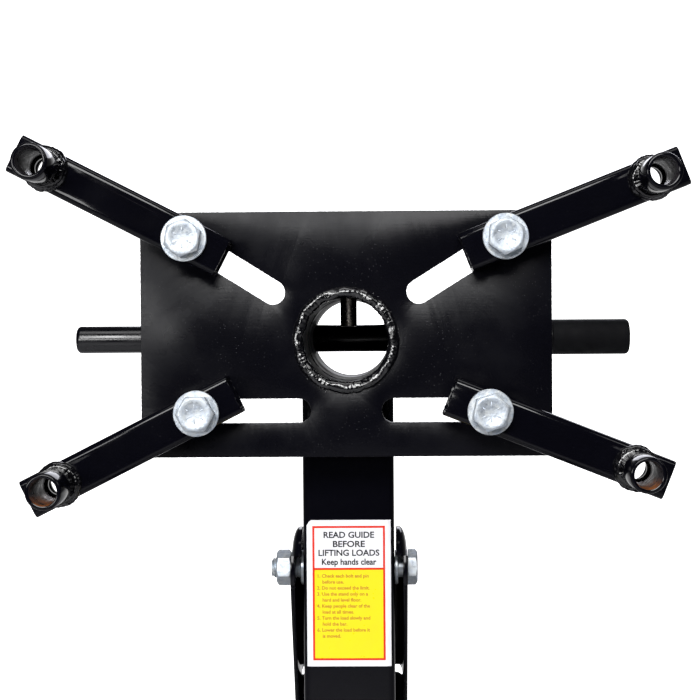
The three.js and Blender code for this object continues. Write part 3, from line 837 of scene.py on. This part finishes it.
def make_through_bolt():
    lo, hi = low("brace_bolt"), high("brace_bolt")
    head, nut, turn = 6.6, 10.0, 22
    face = hi[0] - head
    bolt = bolt_shell(FLATS, head, SHANK, face - lo[0], 22, turn)
    piece("through_bolt", bolt, ZINC, frame_at(face, POST[1], BOLT_Z, "X"), "frame", "brace_bolt")
    place = frame_at(low("brace_nut")[0], POST[1], BOLT_Z, "X")
    nut_shell = moved(hexagon(FLATS, nut, True, HOLE), turn=turn)
    piece("through_nut", nut_shell, ZINC, place, "frame", "brace_nut")
    for name, x in (("left", -POST_HALF - 2.6), ("right", POST_HALF + 0.4)):
        place = frame_at(x, POST[1], BOLT_Z, "X")
        piece(f"through_washer_{name}", washer_shell(11.5, 7.5, 2.2), ZINC, place, "frame")


# ---- Base ----------------------------------------------------------------------------------
def make_beams():
    for name, body in (("rear_beam", "frame"), ("front_beam", "front_leg")):
        lo, hi = low(name), high(name)
        middle_z = (lo[2] + hi[2]) / 2
        size = hi - lo
        beam = square_tube(f"{name}_tube", size[0], size[2], size[1], frame_at(0, lo[1], middle_z, "Y"))
        if name == "front_beam":
            pivot = rod_cutter(HOLE, 200, frame_at(0, middle("hinge_bolt")[1], middle_z, "X"))
            clamp = rod_cutter(6.4, 200, frame_at(0, middle("fold_clamp_knob")[1], middle_z, "X"))
            carve(beam, pivot, clamp)
        settle(beam, body, "black_paint", name)
    rear, front = high("rear_beam")[1], low("front_beam")[1]
    for end, body, y, side in (("rear", "frame", rear, 1), ("front", "front_leg", front, -1)):
        bar = f"{end}_crossbar"
        lo, size = low(bar), high(bar) - low(bar)
        centre = middle(bar)
        place = frame_at(lo[0], centre[1], centre[2], "X")
        tube = square_tube(f"{bar}_tube", size[2], size[1], size[0], place)
        settle(tube, body, "black_paint", bar)
        loop = round_rect(61, 61, 5.5, 4)
        points = [(x, y - side * 0.5, centre[2] + z) for x, z in loop]
        free = [np.array([x, 0, z]) / np.linalg.norm([x, z]) + np.array([0, -side * 1.0, 0]) for x, z in loop]
        weld_path(f"{end}_beam_weld", points, free, 3.2, body, True, 50.0 + side)
        for name, way in SIDES:
            make_cap(f"{end}_cap_{name}", body, way)


def make_cap(node, body, way):
    """Pushed-in tube cap: a domed face with a soft rim and a ribbed plug."""
    lo, hi = low(node), high(node)
    thick, full = 3.0, hi[2] - lo[2]
    face = lo[0] if way < 0 else hi[0]
    plug = thick - hi[0] + lo[0]
    rings = [(3.6, plug, 2.2), (3.3, plug + 1.5, 2.2), (3.3, 0.0, 2.2)]
    rings += [(inset, z, max(5 - inset, 2)) for inset, z in
              ((0.6, 0), (0, 0.5), (0, 1.4), (0.4, 2.1), (1.3, 2.7), (2.6, 2.95), (8, thick))]
    sections = [at_height(round_rect(full - 2 * inset, full - 2 * inset, corner), z)
                for inset, z, corner in rings]
    place = frame_at(face - way * thick, (lo[1] + hi[1]) / 2, (lo[2] + hi[2]) / 2, "X")
    piece(f"{node}_moulding", loft(sections), CAP, place @ Matrix.Diagonal((1, 1, way, 1)), body, node)


def make_hinge():
    hi = high("hinge_bracket")
    y0, z0 = middle("hinge_bolt")[1], middle("hinge_bolt")[2]
    cheek, inside = 5.0, hi[0] - 5.0
    rim, guide, slot_half, back, under = 76.0, 60.0, 6.6, hi[1] - y0, -30.3
    outline = np.concatenate([[(back, 24), (40, 24)], arc(0, 0, rim, 80, 190, 50),
                              [(-20, under), (back, under)]])
    arc_slot = np.concatenate([arc(0, 0, guide + slot_half, 90, 180, 40),
                               arc(-guide, 0, slot_half, 180, 360, 16),
                               arc(0, 0, guide - slot_half, 180, 90, 36),
                               arc(0, guide, slot_half, -90, 90, 16)])
    plate = cut_plate(outline, [arc_slot, ring_hole(0, 0, HOLE)], cheek, 0.6)
    for name, side in SIDES:
        x = -inside - cheek if side < 0 else inside
        place = Matrix.Translation((x, y0, z0)) @ STAND_X
        piece(f"hinge_cheek_{name}", plate, PAINT, place, "frame", *(["hinge_bracket"] if side < 0 else []))
        points = [(side * (inside + 0.4), y0 + y, z0 - 31.6) for y in np.linspace(44, back - 3, 20)]
        weld_path(f"hinge_web_weld_{name}", points, [(-side * 0.2, 0, -1)] * 20, 1.6, "frame", seed=60 + x)
        points = [(side * (inside - 0.4), y0 + y, z0 + 25.2) for y in np.linspace(46, back - 4, 20)]
        weld_path(f"hinge_beam_weld_{name}", points, [(side * 0.6, 0, 1)] * 20, 2.6, "frame", seed=64 + x)
    web_long = back - 42
    web = loft([at_height(round_rect(2 * inside + 2 * cheek, web_long, 1.5, 3), z) for z in (0, cheek)])
    piece("hinge_web", web, PAINT, frame_at(0, y0 + back - web_long / 2, z0 + under - cheek), "frame")
    face = hi[0] + 0.3
    bolt = bolt_shell(FLATS, 8.8, SHANK, face - low("hinge_bolt")[0], 26, 8)
    piece("hinge_pivot_bolt", bolt, ZINC, frame_at(face, y0, z0, "X"), "frame", "hinge_bolt")
    place = frame_at(low("hinge_nut")[0], y0, z0, "X")
    nut = moved(hexagon(FLATS, 11, True, HOLE), turn=20)
    piece("hinge_pivot_nut", nut, ZINC, place, "frame", "hinge_nut")


def make_clamp():
    """Star knob on a threaded rod through the bracket's guide slot."""
    lo, hi = low("fold_clamp_knob"), high("fold_clamp_knob")
    y0, z0 = middle("fold_clamp_knob")[1], middle("fold_clamp_knob")[2]
    face = high("hinge_bracket")[0] + 0.3
    thick = hi[0] - face - 4
    angles = np.arange(100) * 2 * math.pi / 100

    def lobes(inset, z):
        r = 16.4 + 2.6 * np.cos(5 * angles) - inset
        return np.column_stack([r * np.cos(angles), r * np.sin(angles), np.full(100, z)])

    rings = [(7, 0), (2.2, 0), (0.6, 1.0), (0, 3), (0, thick - 4.5), (0.7, thick - 2), (2.4, thick - 0.5),
             (5.5, thick), (9.0, thick - 0.2), (11.0, thick - 1.2)]
    knob = loft([lobes(inset, z) for inset, z in rings])
    place = frame_at(face + 4, y0, z0, "X")
    piece("fold_clamp_star", knob, KNOB, place, "fold_clamp", "fold_clamp_knob", angle=50)
    collar = moved(revolve([(9.5, 0), (9.5, 4.6), (8, 5), (6, 5)]), z=face)
    nut = moved(hexagon(18, 5.2, True), z=lo[0] + 0.6)
    rod = joined(threaded(6.0, lo[0], face + 5, 1.75), collar, nut)
    piece("fold_clamp_rod", rod, ZINC, frame_at(0, y0, z0, "X"), "fold_clamp")


# ---- Casters -------------------------------------------------------------------------------
def make_caster_plate(node, x, y, body):
    """Top plate with the swivel's race below it and four bolt heads."""
    top, bottom = high(node)[2], low(node)[2]
    plate = cut_plate(round_rect(90, 60, 8, 10), [], 4.0, 0.5)
    race = revolve([(15, bottom), (19.5, bottom), (20.6, bottom + 0.6), (22.6, bottom + 3.0),
                    (24, bottom + 4.2), (24, top - 3.6), (20, top - 3.6)], 64)
    bolts = [moved(hexagon(13, 5.0), x=sx * 35, y=sy * 20, z=-top + 4.2, turn=17 * sx + 9 * sy)
             for sx in (-1, 1) for sy in (-1, 1)]
    flipped = [(v * np.array([1, 1, -1]), f) for v, f in bolts]
    shell = joined(moved(plate, z=top - 4), race, *flipped)
    piece(node.replace("_plate", "_mounting"), shell, CASTER_ZINC, Matrix.Translation((x, y, 0)), body, node)


def make_caster_fork(node, x, y, axle, body):
    """Folded fork: two cheeks that taper to the axle, and a crown bent over their tops."""
    half, top = high(node)[0] - x, high(node)[2]
    trail, axle_z = axle[1] - y, axle[2]
    thick, shoulder = 3.0, 8.0
    leg = np.concatenate([[(-22, top - shoulder), (-22, top - 14)], arc(trail, axle_z, 12, 200, 350, 30),
                          [(24, top - shoulder)]])
    cheek, faces = cut_plate(leg, [ring_hole(trail, axle_z, 4.3)], thick, 0.5)
    cheeks = [(np.column_stack([cheek[:, 2] + at, cheek[:, :2]]), faces) for at in (-half, half - thick)]

    def crown_line(wall):
        bend = np.radians(np.linspace(0, 90, 8))
        line = [(half - wall, top - shoulder)]
        line += [(half - 5 + (5 - wall) * math.cos(b), top - 5 + (5 - wall) * math.sin(b)) for b in bend]
        return line + [(-u, v) for u, v in line[::-1]]

    section = crown_line(0) + crown_line(thick)[::-1]
    crown = loft([[(u, w, v) for u, v in section] for w in (-22, -21.5, 23.5, 24)])
    name = node.replace("_fork", "_pressed_fork")
    piece(name, joined(*cheeks, crown), CASTER_ZINC, Matrix.Translation((x, y, 0)), body, node)


def make_caster(name):
    node = f"caster_{name}"
    x, y = middle(f"{node}_plate")[:2]
    axle = middle(f"{node}_axle")
    make_caster_plate(f"{node}_plate", x, y, "frame" if name.startswith("rear") else "front_leg")
    make_caster_fork(f"{node}_fork", x, y, axle, f"{node}_swivel")

    out = high(f"{node}_axle")[0] - x
    pin = joined(loft([circle(4, -out + 1, 32), circle(4, out - 1, 32)]),
                 moved(hexagon(13, 4.0), z=out - 4.0), moved(hexagon(13, 4.0, True), z=-out))
    piece(f"{node}_axle_bolt", pin, ZINC, frame_at(*axle, "X"), f"{node}_swivel", f"{node}_axle")

    w, r = high(f"{node}_wheel")[0] - x, high(f"{node}_wheel")[2] - axle[2] - 0.05
    profile = [(4.4, -w), (9.5, -w), (10.4, -w + 0.8), (11.2, -w + 3.4), (13, -w + 4.4), (24, -w + 4.0),
               (26.5, -w + 2.2), (28, -w + 0.6), (30, -w), (r - 4.5, -w), (r - 1.4, -w + 1.2),
               (r - 0.25, -w + 4), (r, -w / 2), (r, w / 2)]
    profile += [(a, -b) for a, b in profile[:-2][::-1]]
    count = 72
    slots = np.repeat([int(9 <= i <= 17) for i in range(len(profile))], count)
    wheel = add_mesh(f"{node}_roller_wheel", *revolve(profile, count, True), [WHEEL, TREAD],
                     frame_at(*axle, "X"), slots)
    settle(wheel, f"{node}_roller", "wheel_nylon", f"{node}_wheel")


# ---- Head ----------------------------------------------------------------------------------
SLOT_HALF = 7.7
SLOT_SLOPE = math.tan(math.radians(32))
UPPER_SLOT, LOWER_SLOT, LOWER_SLOT_Z = (46, 114), (30.0, 98.0), -44.0


def upper_slot(x):
    return 63.9 + (abs(x) - 99) * SLOT_SLOPE


def make_plate():
    lo, hi = low("mounting_plate"), high("mounting_plate")
    width, height = hi[0] - lo[0], hi[2] - lo[2]
    centre_z = (hi[2] + lo[2]) / 2 - AXIS_Z
    outline = round_rect(width - 0.5, height - 0.5, 1.6, 3) + np.array([0, centre_z])
    holes = [ring_hole(0, 0, HEAD_TUBE_RADIUS + 0.3, 96)]
    for side in (-1, 1):
        upper = sorted((side * x, upper_slot(x)) for x in UPPER_SLOT)
        lower = sorted((side * x, LOWER_SLOT_Z) for x in LOWER_SLOT)
        holes.append(roughen(slot_loop(*upper, SLOT_HALF), 0.8, 0.26, 3.0 + side))
        holes.append(roughen(slot_loop(*lower, SLOT_HALF), 0.8, 0.26, 7.0 + side))
    place = Matrix.Translation((0, PLATE_FRONT + PLATE_THICK, AXIS_Z)) @ Matrix.Rotation(math.pi / 2, 4, "X")
    shell = cut_plate(roughen(outline, 0.8, 0.18, 1.0), holes, PLATE_THICK, 0.35)
    piece("mounting_plate_flame_cut", shell, PLATE, place, "head", "mounting_plate", angle=40)


def make_head_tube():
    lo, hi = low("head_tube"), high("head_tube")
    profile = pipe_profile(HEAD_TUBE_RADIUS, 27.9, hi[1] - lo[1], 0.5)
    wall_slots = np.repeat([0, 0, 0, 0, 1, 1, 1, 0], 120)
    tube = add_mesh("head_tube_pipe", *revolve(profile, 120, True), [PAINT, TUBE_INSIDE],
                    frame_at(0, lo[1], AXIS_Z, "Y"), wall_slots)
    pin_y, bar_y = middle("lock_pin")[1], middle("handle_bar")[1]
    cutters = [rod_cutter(10.4, 90, frame_at(0, bar_y, AXIS_Z, "X"), 48)]
    for i in range(6):
        turn = Matrix.Rotation(math.radians(30 * i), 4, "Y")
        cutters.append(rod_cutter(6.3, 90, Matrix.Translation((0, pin_y, AXIS_Z)) @ turn, 28))
    settle(carve(tube, *cutters), "head", "black_paint", "head_tube")
    weld_ring("bore_weld_front", (-0.3, PLATE_FRONT - 0.1, AXIS_Z + 0.4), 30.2, 3.5, "head", 2.0, (0.15, -1),
              0.95, 0.6, 0.6, GRITTY_WELD)
    weld_ring("bore_weld_back", (0, PLATE_FRONT + PLATE_THICK + 0.6, AXIS_Z), 33.2, 3.4, "head", 6.0, (1, 1),
              0.8, 0.4, 0.4)
    rng = random.Random(5)
    drops = []
    for _ in range(46):
        a, r = rng.uniform(0, 2 * math.pi), 33.4 + 1.4 * rng.random() ** 1.5
        size = rng.uniform(0.25, 0.6)
        drop = lozenge(size, size * rng.uniform(0.6, 1), size * 0.6)
        drops.append(moved(moved(drop, turn=rng.uniform(0, 360)), x=r * math.cos(a), y=r * math.sin(a)))
    place = Matrix.Translation((0, PLATE_FRONT, AXIS_Z)) @ Matrix.Rotation(math.pi / 2, 4, "X")
    piece("bore_weld_spatter", joined(*drops), WELD, place, "head")


def make_lock_pin():
    hi, lo = high("lock_pin"), low("lock_pin")
    x, y = middle("lock_pin")[:2]
    cross, r, half = 4.0, 5.6, hi[0]
    shaft = revolve([(r - 1.0, lo[2]), (r - 0.3, lo[2] + 0.3), (r, lo[2] + 1.0), (r, hi[2] - 2.6),
                     (r - 0.8, hi[2] - 1), (r - 2.4, hi[2] - 0.2)], 56)
    bar = revolve([(cross - 1.2, -half), (cross - 0.3, -half + 0.5), (cross, -half + 1.4),
                   (cross, half - 1.4), (cross - 0.3, half - 0.5), (cross - 1.2, half)], 40)
    piece("lock_pin_rod", shaft, PIN_ZINC, Matrix.Translation((x, y, 0)), "lock_pin", "lock_pin")
    piece("lock_pin_cross_bar", bar, PIN_ZINC, frame_at(x, y, hi[2] - cross, "X"), "lock_pin")


def make_handle():
    lo, hi = low("handle_bar"), high("handle_bar")
    y, r = middle("handle_bar")[1], (hi[2] - lo[2]) / 2
    place = frame_at(0, y, AXIS_Z, "X")
    end = [(r - 3.4 + 3.4 * math.sin(b), lo[0] + 3.4 - 3.4 * math.cos(b))
           for b in np.radians(np.linspace(8, 90, 9))]
    bar = revolve(end + [(r, hi[0] - 1), (r - 1, hi[0])], 72)
    piece("turning_bar", bar, BAR_PAINT, place, "handle", "handle_bar")
    g0, g1 = low("handle_grip")[0] - 2.0, high("handle_grip")[0]
    o = high("handle_grip")[2] - AXIS_Z
    edge = [(o - 3 + 3 * math.sin(b), g1 - 3 + 3 * math.cos(b)) for b in np.radians(np.linspace(90, 8, 9))]
    inner = [(r + 0.2, hi[0] + 0.3), (r + 0.2, g0 + 0.4), (r + 0.6, g0), (o - 0.8, g0), (o, g0 + 0.8)]
    piece("turning_grip", revolve(inner + edge, 72), RUBBER, place, "handle", "handle_grip")


# ---- Arms ----------------------------------------------------------------------------------
ARM_ANGLE = {"upper_left": 152.8, "upper_right": 21.4, "lower_left": 206.8, "lower_right": -21.5}
HEX_TURN = {"upper_left": 50, "upper_right": 55, "lower_left": 30, "lower_right": 48}
ARM_SIZE, ARM_WALL, ARM_LONG, ARM_BACK, SLEEVE_AT = 25.0, 2.5, 144, 26, 96


def make_arm(name, index):
    """Square tube with a sleeve welded near its end; its local +X runs out along the arm from the bolt."""
    body, lower = f"arm_{name}", name.startswith("lower")
    bolt = middle(f"{body}_bolt")
    front = PLATE_FRONT - 0.3 - ARM_SIZE
    turn = Matrix.Rotation(-math.radians(ARM_ANGLE[name]), 4, "Y")
    arm = Matrix.Translation((bolt[0], front, bolt[2])) @ turn
    out = Matrix.Rotation(-math.pi / 2, 4, "X")
    ragged = 0.9 if lower else 0.25
    shell = box_tube(ARM_SIZE, ARM_SIZE, ARM_WALL, 3.5, ARM_LONG, 0.45, 6, 14, ragged, 3.1 * index)
    place = arm @ Matrix.Translation((-ARM_BACK, ARM_SIZE / 2, 0)) @ AXES["X"]
    tube = add_mesh(f"{body}_box", *shell, PAINT, place)
    sleeve = arm @ Matrix.Translation((SLEEVE_AT, 0, 0))
    back_wall = arm @ Matrix.Translation((SLEEVE_AT, ARM_SIZE, 0))
    holes = [rod_cutter(HOLE, 80, arm @ out), rod_cutter(6.5, 80, sleeve @ out),
             rod_cutter(9.3, 8, back_wall @ out)]
    settle(carve(tube, *holes), body, "black_paint", f"{body}_tube")

    outer, inner, end = 11.0, 8.25, -50.0
    profile = [(outer - 0.3, -0.3), (outer, -0.8), (outer, end + 1.2), (outer - 0.4, end + 0.4),
               (outer - 1.1, end), (inner + 0.8, end), (inner + 0.2, end + 0.3), (inner, end + 0.9),
               (inner, -0.5), (inner + 0.3, -0.3)]
    inside_faces = np.repeat([0, 0, 0, 0, 0, 0, 1, 1, 0, 0], 72)
    cup = add_mesh(f"{body}_sleeve", *revolve(profile, 72, True), [PAINT, RUSTY_BORE if lower else BORE],
                   sleeve @ out, inside_faces)
    settle(cup, body, "black_paint", f"{body}_cup")
    weld_ring(f"{body}_sleeve_weld", sleeve @ Vector((0, -0.6, 0)), 11.6, 3.2, body, 70.0 + index, (1, -0.9),
              0.85, 0.45, 0.7)
    weld_ring(f"{body}_sleeve_weld_upper", sleeve @ Vector((0, -3.6, 0)), 11.0, 2.2, body, 80.0 + index,
              (1, -0.6), 0.9, 0.4, 0.4)

    head = 8.8
    face = low(f"{body}_bolt")[1] + head
    upright = Matrix.Translation((bolt[0], 0, bolt[2])) @ Matrix.Rotation(math.pi / 2, 4, "X")
    bolt_long = high(f"{body}_bolt")[1] - face
    for part, node, y, shell, coat in (
            ("clamp_bolt", "bolt", face,
             bolt_shell(FLATS, head, SHANK, bolt_long, 30, HEX_TURN[name]), ZINC_TOP),
            ("flat_washer", "washer", high(f"{body}_washer")[1], washer_shell(14.2, HOLE, 2.5), ZINC),
            ("clamp_nut", "nut", high(f"{body}_nut")[1],
             moved(hexagon(FLATS, 11.0, True, HOLE), turn=13 * index), ZINC)):
        place = Matrix.Translation((0, y, 0)) @ upright
        piece(f"{body}_{part}", shell, coat, place, f"bolt_{name}", f"{body}_{node}")


# ---- Label ---------------------------------------------------------------------------------
LABEL_INK = {"white": printed_vinyl("label_white", (0.74, 0.74, 0.77), 0.96),
             "red": printed_vinyl("label_red", (0.66, 0.022, 0.004)),
             "yellow": printed_vinyl("label_yellow", (0.74, 0.65, 0.010), 0.94),
             "black": printed_vinyl("label_black", (0.014, 0.014, 0.017)),
             "orange": printed_vinyl("label_orange", (0.50, 0.20, 0.02))}
TITLE_HEIGHT, RULE_HEIGHT, RULE_PITCH, LETTER_WEIGHT = 4.1, 2.3, 3.95, 0.026
# Each line of the title: its words, the height of its middle from the head's axis, and its width.
TITLE = (("READ GUIDE", -127.4, 33.2), ("BEFORE", -133.4, 21.0), ("LIFTING LOADS", -139.2, 40.0),
         ("Keep hands clear", -145.1, 35.8))
RULES = ("1. Check each bolt and pin", "    before use.", "2. Do not exceed the limit.",
         "3. Use the stand only on a", "    hard and level floor.", "4. Keep people clear of the",
         "    load at all times.", "5. Turn the load slowly and", "    hold the bar.",
         "6. Lower the load before it", "    is moved.")


def post_surface(x):
    beyond = max(abs(x) - (POST_HALF - TUBE_CORNER), 0.0)
    return POST_FRONT + TUBE_CORNER - math.sqrt(max(TUBE_CORNER ** 2 - beyond ** 2, 0))


def label_sheet(x0, x1, z0, z1, lift, cut=0.0):
    """Thin sheet that follows the post's front and its rounded corners."""
    sections = []
    for x in np.linspace(x0, x1, 40 if x1 - x0 > 20 else 3):
        y = post_surface(x)
        top = z1 - max(0.0, (cut - (x - x0)) * 1.65)
        sections.append([(x, y - lift, AXIS_Z + z0), (x, y - lift, AXIS_Z + top),
                         (x, y - 0.01, AXIS_Z + top), (x, y - 0.01, AXIS_Z + z0)])
    return loft(sections)


def label_text(name, words, left, centre_z, height, width, colour, centred):
    """Raised lettering on the label, one line to a piece. A width of 0 keeps the letters' own proportions."""
    curve = bpy.data.curves.new(name, "FONT")
    curve.body = words
    curve.align_x = "CENTER" if centred else "LEFT"
    curve.resolution_u = 3
    curve.extrude = 0.02
    curve.offset = LETTER_WEIGHT
    source = bpy.data.objects.new(name, curve)
    bpy.context.scene.collection.objects.link(source)
    bpy.context.view_layer.update()
    mesh = bpy.data.meshes.new_from_object(source)
    bpy.data.objects.remove(source)
    across = np.array([v.co.x for v in mesh.vertices])
    tall = height / 0.73
    wide = width / (across.max() - across.min()) if width else tall
    shift = Matrix.Translation((left, POST_FRONT - 0.12, AXIS_Z + centre_z - height / 2))
    stand = Matrix.Rotation(math.pi / 2, 4, "X") @ Matrix.Diagonal((wide, tall, 1, 1))
    mesh.transform(Matrix.Scale(M, 4) @ shift @ stand)
    mesh.materials.append(LABEL_INK[colour])
    text = bpy.data.objects.new(name, mesh)
    bpy.context.scene.collection.objects.link(text)
    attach(text, "frame")


def make_label():
    """Heights are from the head's axis. A red line frames the title and the yellow field under it."""
    top, divider, base, line = -117.8, -149.9, -214.0, 1.35
    half, outer, inner = 27.6, 23.8, 22.45
    frame_top, frame_base = top - 3.9, base + 4
    parts = {"white": [label_sheet(-half, half, base, top, 0.06, 2.2)],
             "yellow": [label_sheet(-inner, inner, base + 5, divider, 0.08)],
             "red": [label_sheet(-outer, -inner, frame_base, frame_top, 0.1),
                     label_sheet(inner, outer, frame_base, frame_top, 0.1),
                     label_sheet(-inner, inner, frame_top - line, frame_top, 0.1),
                     label_sheet(-inner, inner, divider - line / 2, divider + line / 2, 0.1),
                     label_sheet(-inner, inner, frame_base, frame_base + line, 0.1)]}
    for colour, shells in parts.items():
        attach(add_mesh(f"label_{colour}_print", *joined(*shells), LABEL_INK[colour]), "frame")
    for i, (words, z, width) in enumerate(TITLE):
        label_text(f"label_title_{i + 1}", words, 0, z, TITLE_HEIGHT, width, "black", True)
    for i, words in enumerate(RULES):
        z = -154.4 - RULE_PITCH * i
        label_text(f"label_rule_{i + 1}", words, -21.0, z, RULE_HEIGHT, 0, "orange", False)


# ---- Studio --------------------------------------------------------------------------------
def make_stage():
    """White sweep. In reflections only the part straight behind the stand is bright, so black stays black."""
    n = Nodes("studio_floor")
    n.set(Roughness=0.8, Emission_Color=(1, 1, 1, 1))
    split = n.tree.nodes.new("ShaderNodeSeparateXYZ")
    n.link(n.coords, split.inputs[0])
    behind = n.remap(split.outputs["Y"], 1.2, 3.4, 0.0, 0.8)
    aside = n.remap(n.math("ABSOLUTE", split.outputs["X"], 0.0), 1.6, 4.5, 1.0, 0.06)
    above = n.remap(split.outputs["Z"], 3.0, 6.5, 1.0, 0.06)
    mirrored = n.math("MULTIPLY", n.math("MULTIPLY", behind, aside), above)
    seen = n.tree.nodes.new("ShaderNodeLightPath").outputs["Is Camera Ray"]
    length = n.tree.nodes.new("ShaderNodeVectorMath")
    length.operation = "LENGTH"
    n.link(n.coords, length.inputs[0])
    shown = n.remap(length.outputs["Value"], 1.0, 2.8, 0.5, 1.2)
    n.drive("Emission Strength", n.math("ADD", mirrored, n.math("MULTIPLY", seen, shown)))
    n.drive("Base Color", n.mix(n.noise(3, 2), (0.60, 0.60, 0.62), (0.66, 0.66, 0.68)))
    half, front, bend, back = 12000, -9000.0, 3000, 10000.0
    profile = [(front, 0.0), (back - bend, 0.0)]
    profile += [(back - bend + bend * math.sin(a), bend - bend * math.cos(a))
                for a in np.radians(np.linspace(10, 90, 12))]
    profile.append((back, 9000.0))
    verts = [(x, y, z) for y, z in profile for x in (-half, half)]
    faces = [(2 * i, 2 * i + 1, 2 * i + 3, 2 * i + 2) for i in range(len(profile) - 1)]
    add_mesh("studio_sweep", verts, faces, n.material, angle=60)


def add_light(name, at, size, radiance, colour=(1, 1, 1)):
    """Rectangular light that looks at the head, by its size in metres and its own brightness."""
    lamp = bpy.data.lights.new(name, "AREA")
    lamp.shape = "RECTANGLE"
    lamp.size, lamp.size_y = size
    lamp.energy = radiance * math.pi * size[0] * size[1]
    lamp.color = colour
    obj = bpy.data.objects.new(name, lamp)
    obj.location = at
    towards = Vector((0, PLATE_FRONT * M, AXIS_Z * M)) - Vector(at)
    obj.rotation_euler = towards.to_track_quat("-Z", "Y").to_euler()
    obj.visible_camera = False
    bpy.context.scene.collection.objects.link(obj)


def make_world():
    world = bpy.data.worlds.new("studio_world")
    world.use_nodes = True
    tree = world.node_tree
    split = tree.nodes.new("ShaderNodeSeparateXYZ")
    tree.links.new(tree.nodes.new("ShaderNodeTexCoord").outputs["Generated"], split.inputs[0])
    tree.nodes["Background"].inputs["Color"].default_value = (1, 1, 1, 1)
    ramp = tree.nodes.new("ShaderNodeMapRange")
    ramp.inputs["To Min"].default_value, ramp.inputs["To Max"].default_value = 0.01, 0.10
    tree.links.new(split.outputs["Y"], ramp.inputs["Value"])
    glow = tree.nodes.new("ShaderNodeMath")
    glow.operation = "ADD"
    tree.links.new(ramp.outputs["Result"], glow.inputs[0])
    tree.links.new(tree.nodes.new("ShaderNodeLightPath").outputs["Is Camera Ray"], glow.inputs[1])
    tree.links.new(glow.outputs[0], tree.nodes["Background"].inputs["Strength"])
    bpy.context.scene.world = world


def make_camera():
    pitch, yaw, roll = 0.0158, -0.019, -0.0068
    to_lens = Matrix.Rotation(roll, 3, "Y") @ Matrix.Rotation(pitch, 3, "X") @ Matrix.Rotation(yaw, 3, "Z")
    right, ahead, up = (to_lens.transposed() @ Vector(v) for v in ((1, 0, 0), (0, 1, 0), (0, 0, 1)))
    data = bpy.data.cameras.new("photo_camera")
    data.sensor_width = 36
    data.lens = 1696.377 / 700 * 36
    data.dof.use_dof = False
    camera = bpy.data.objects.new("photo_camera", data)
    place = Vector((22.8104, PLATE_FRONT - 1069.4071, AXIS_Z + 11.1064)) * M
    camera.matrix_world = Matrix.Translation(place) @ Matrix((right, up, -ahead)).transposed().to_4x4()
    bpy.context.scene.collection.objects.link(camera)
    bpy.context.scene.camera = camera


for make in (make_post, make_collar, make_brace, make_ears, make_through_bolt, make_beams, make_hinge,
             make_clamp):
    make()
for caster in CASTERS:
    make_caster(caster)
for make in (make_plate, make_head_tube, make_lock_pin, make_handle):
    make()
for number, arm_name in enumerate(ARMS, 1):
    make_arm(arm_name, number)
for make in (make_label, make_stage, make_world, make_camera):
    make()
add_light("overhead_box", (0.0, -0.35, 2.0), (1.2, 0.5), 3.0)
add_light("front_high", (-0.25, -2.0, 1.86), (1.3, 0.72), 21.0)
add_light("left_strip", (-0.95, -1.40, 0.98), (0.8, 0.3), 16.0)
add_light("right_high", (1.3, -1.0, 1.7), (0.6, 0.5), 5.0)
add_light("rear_wide", (0.4, 2.3, 2.0), (2.0, 0.9), 4.0, (0.90, 0.91, 1.0))
bpy.context.scene.view_settings.view_transform = "Standard"
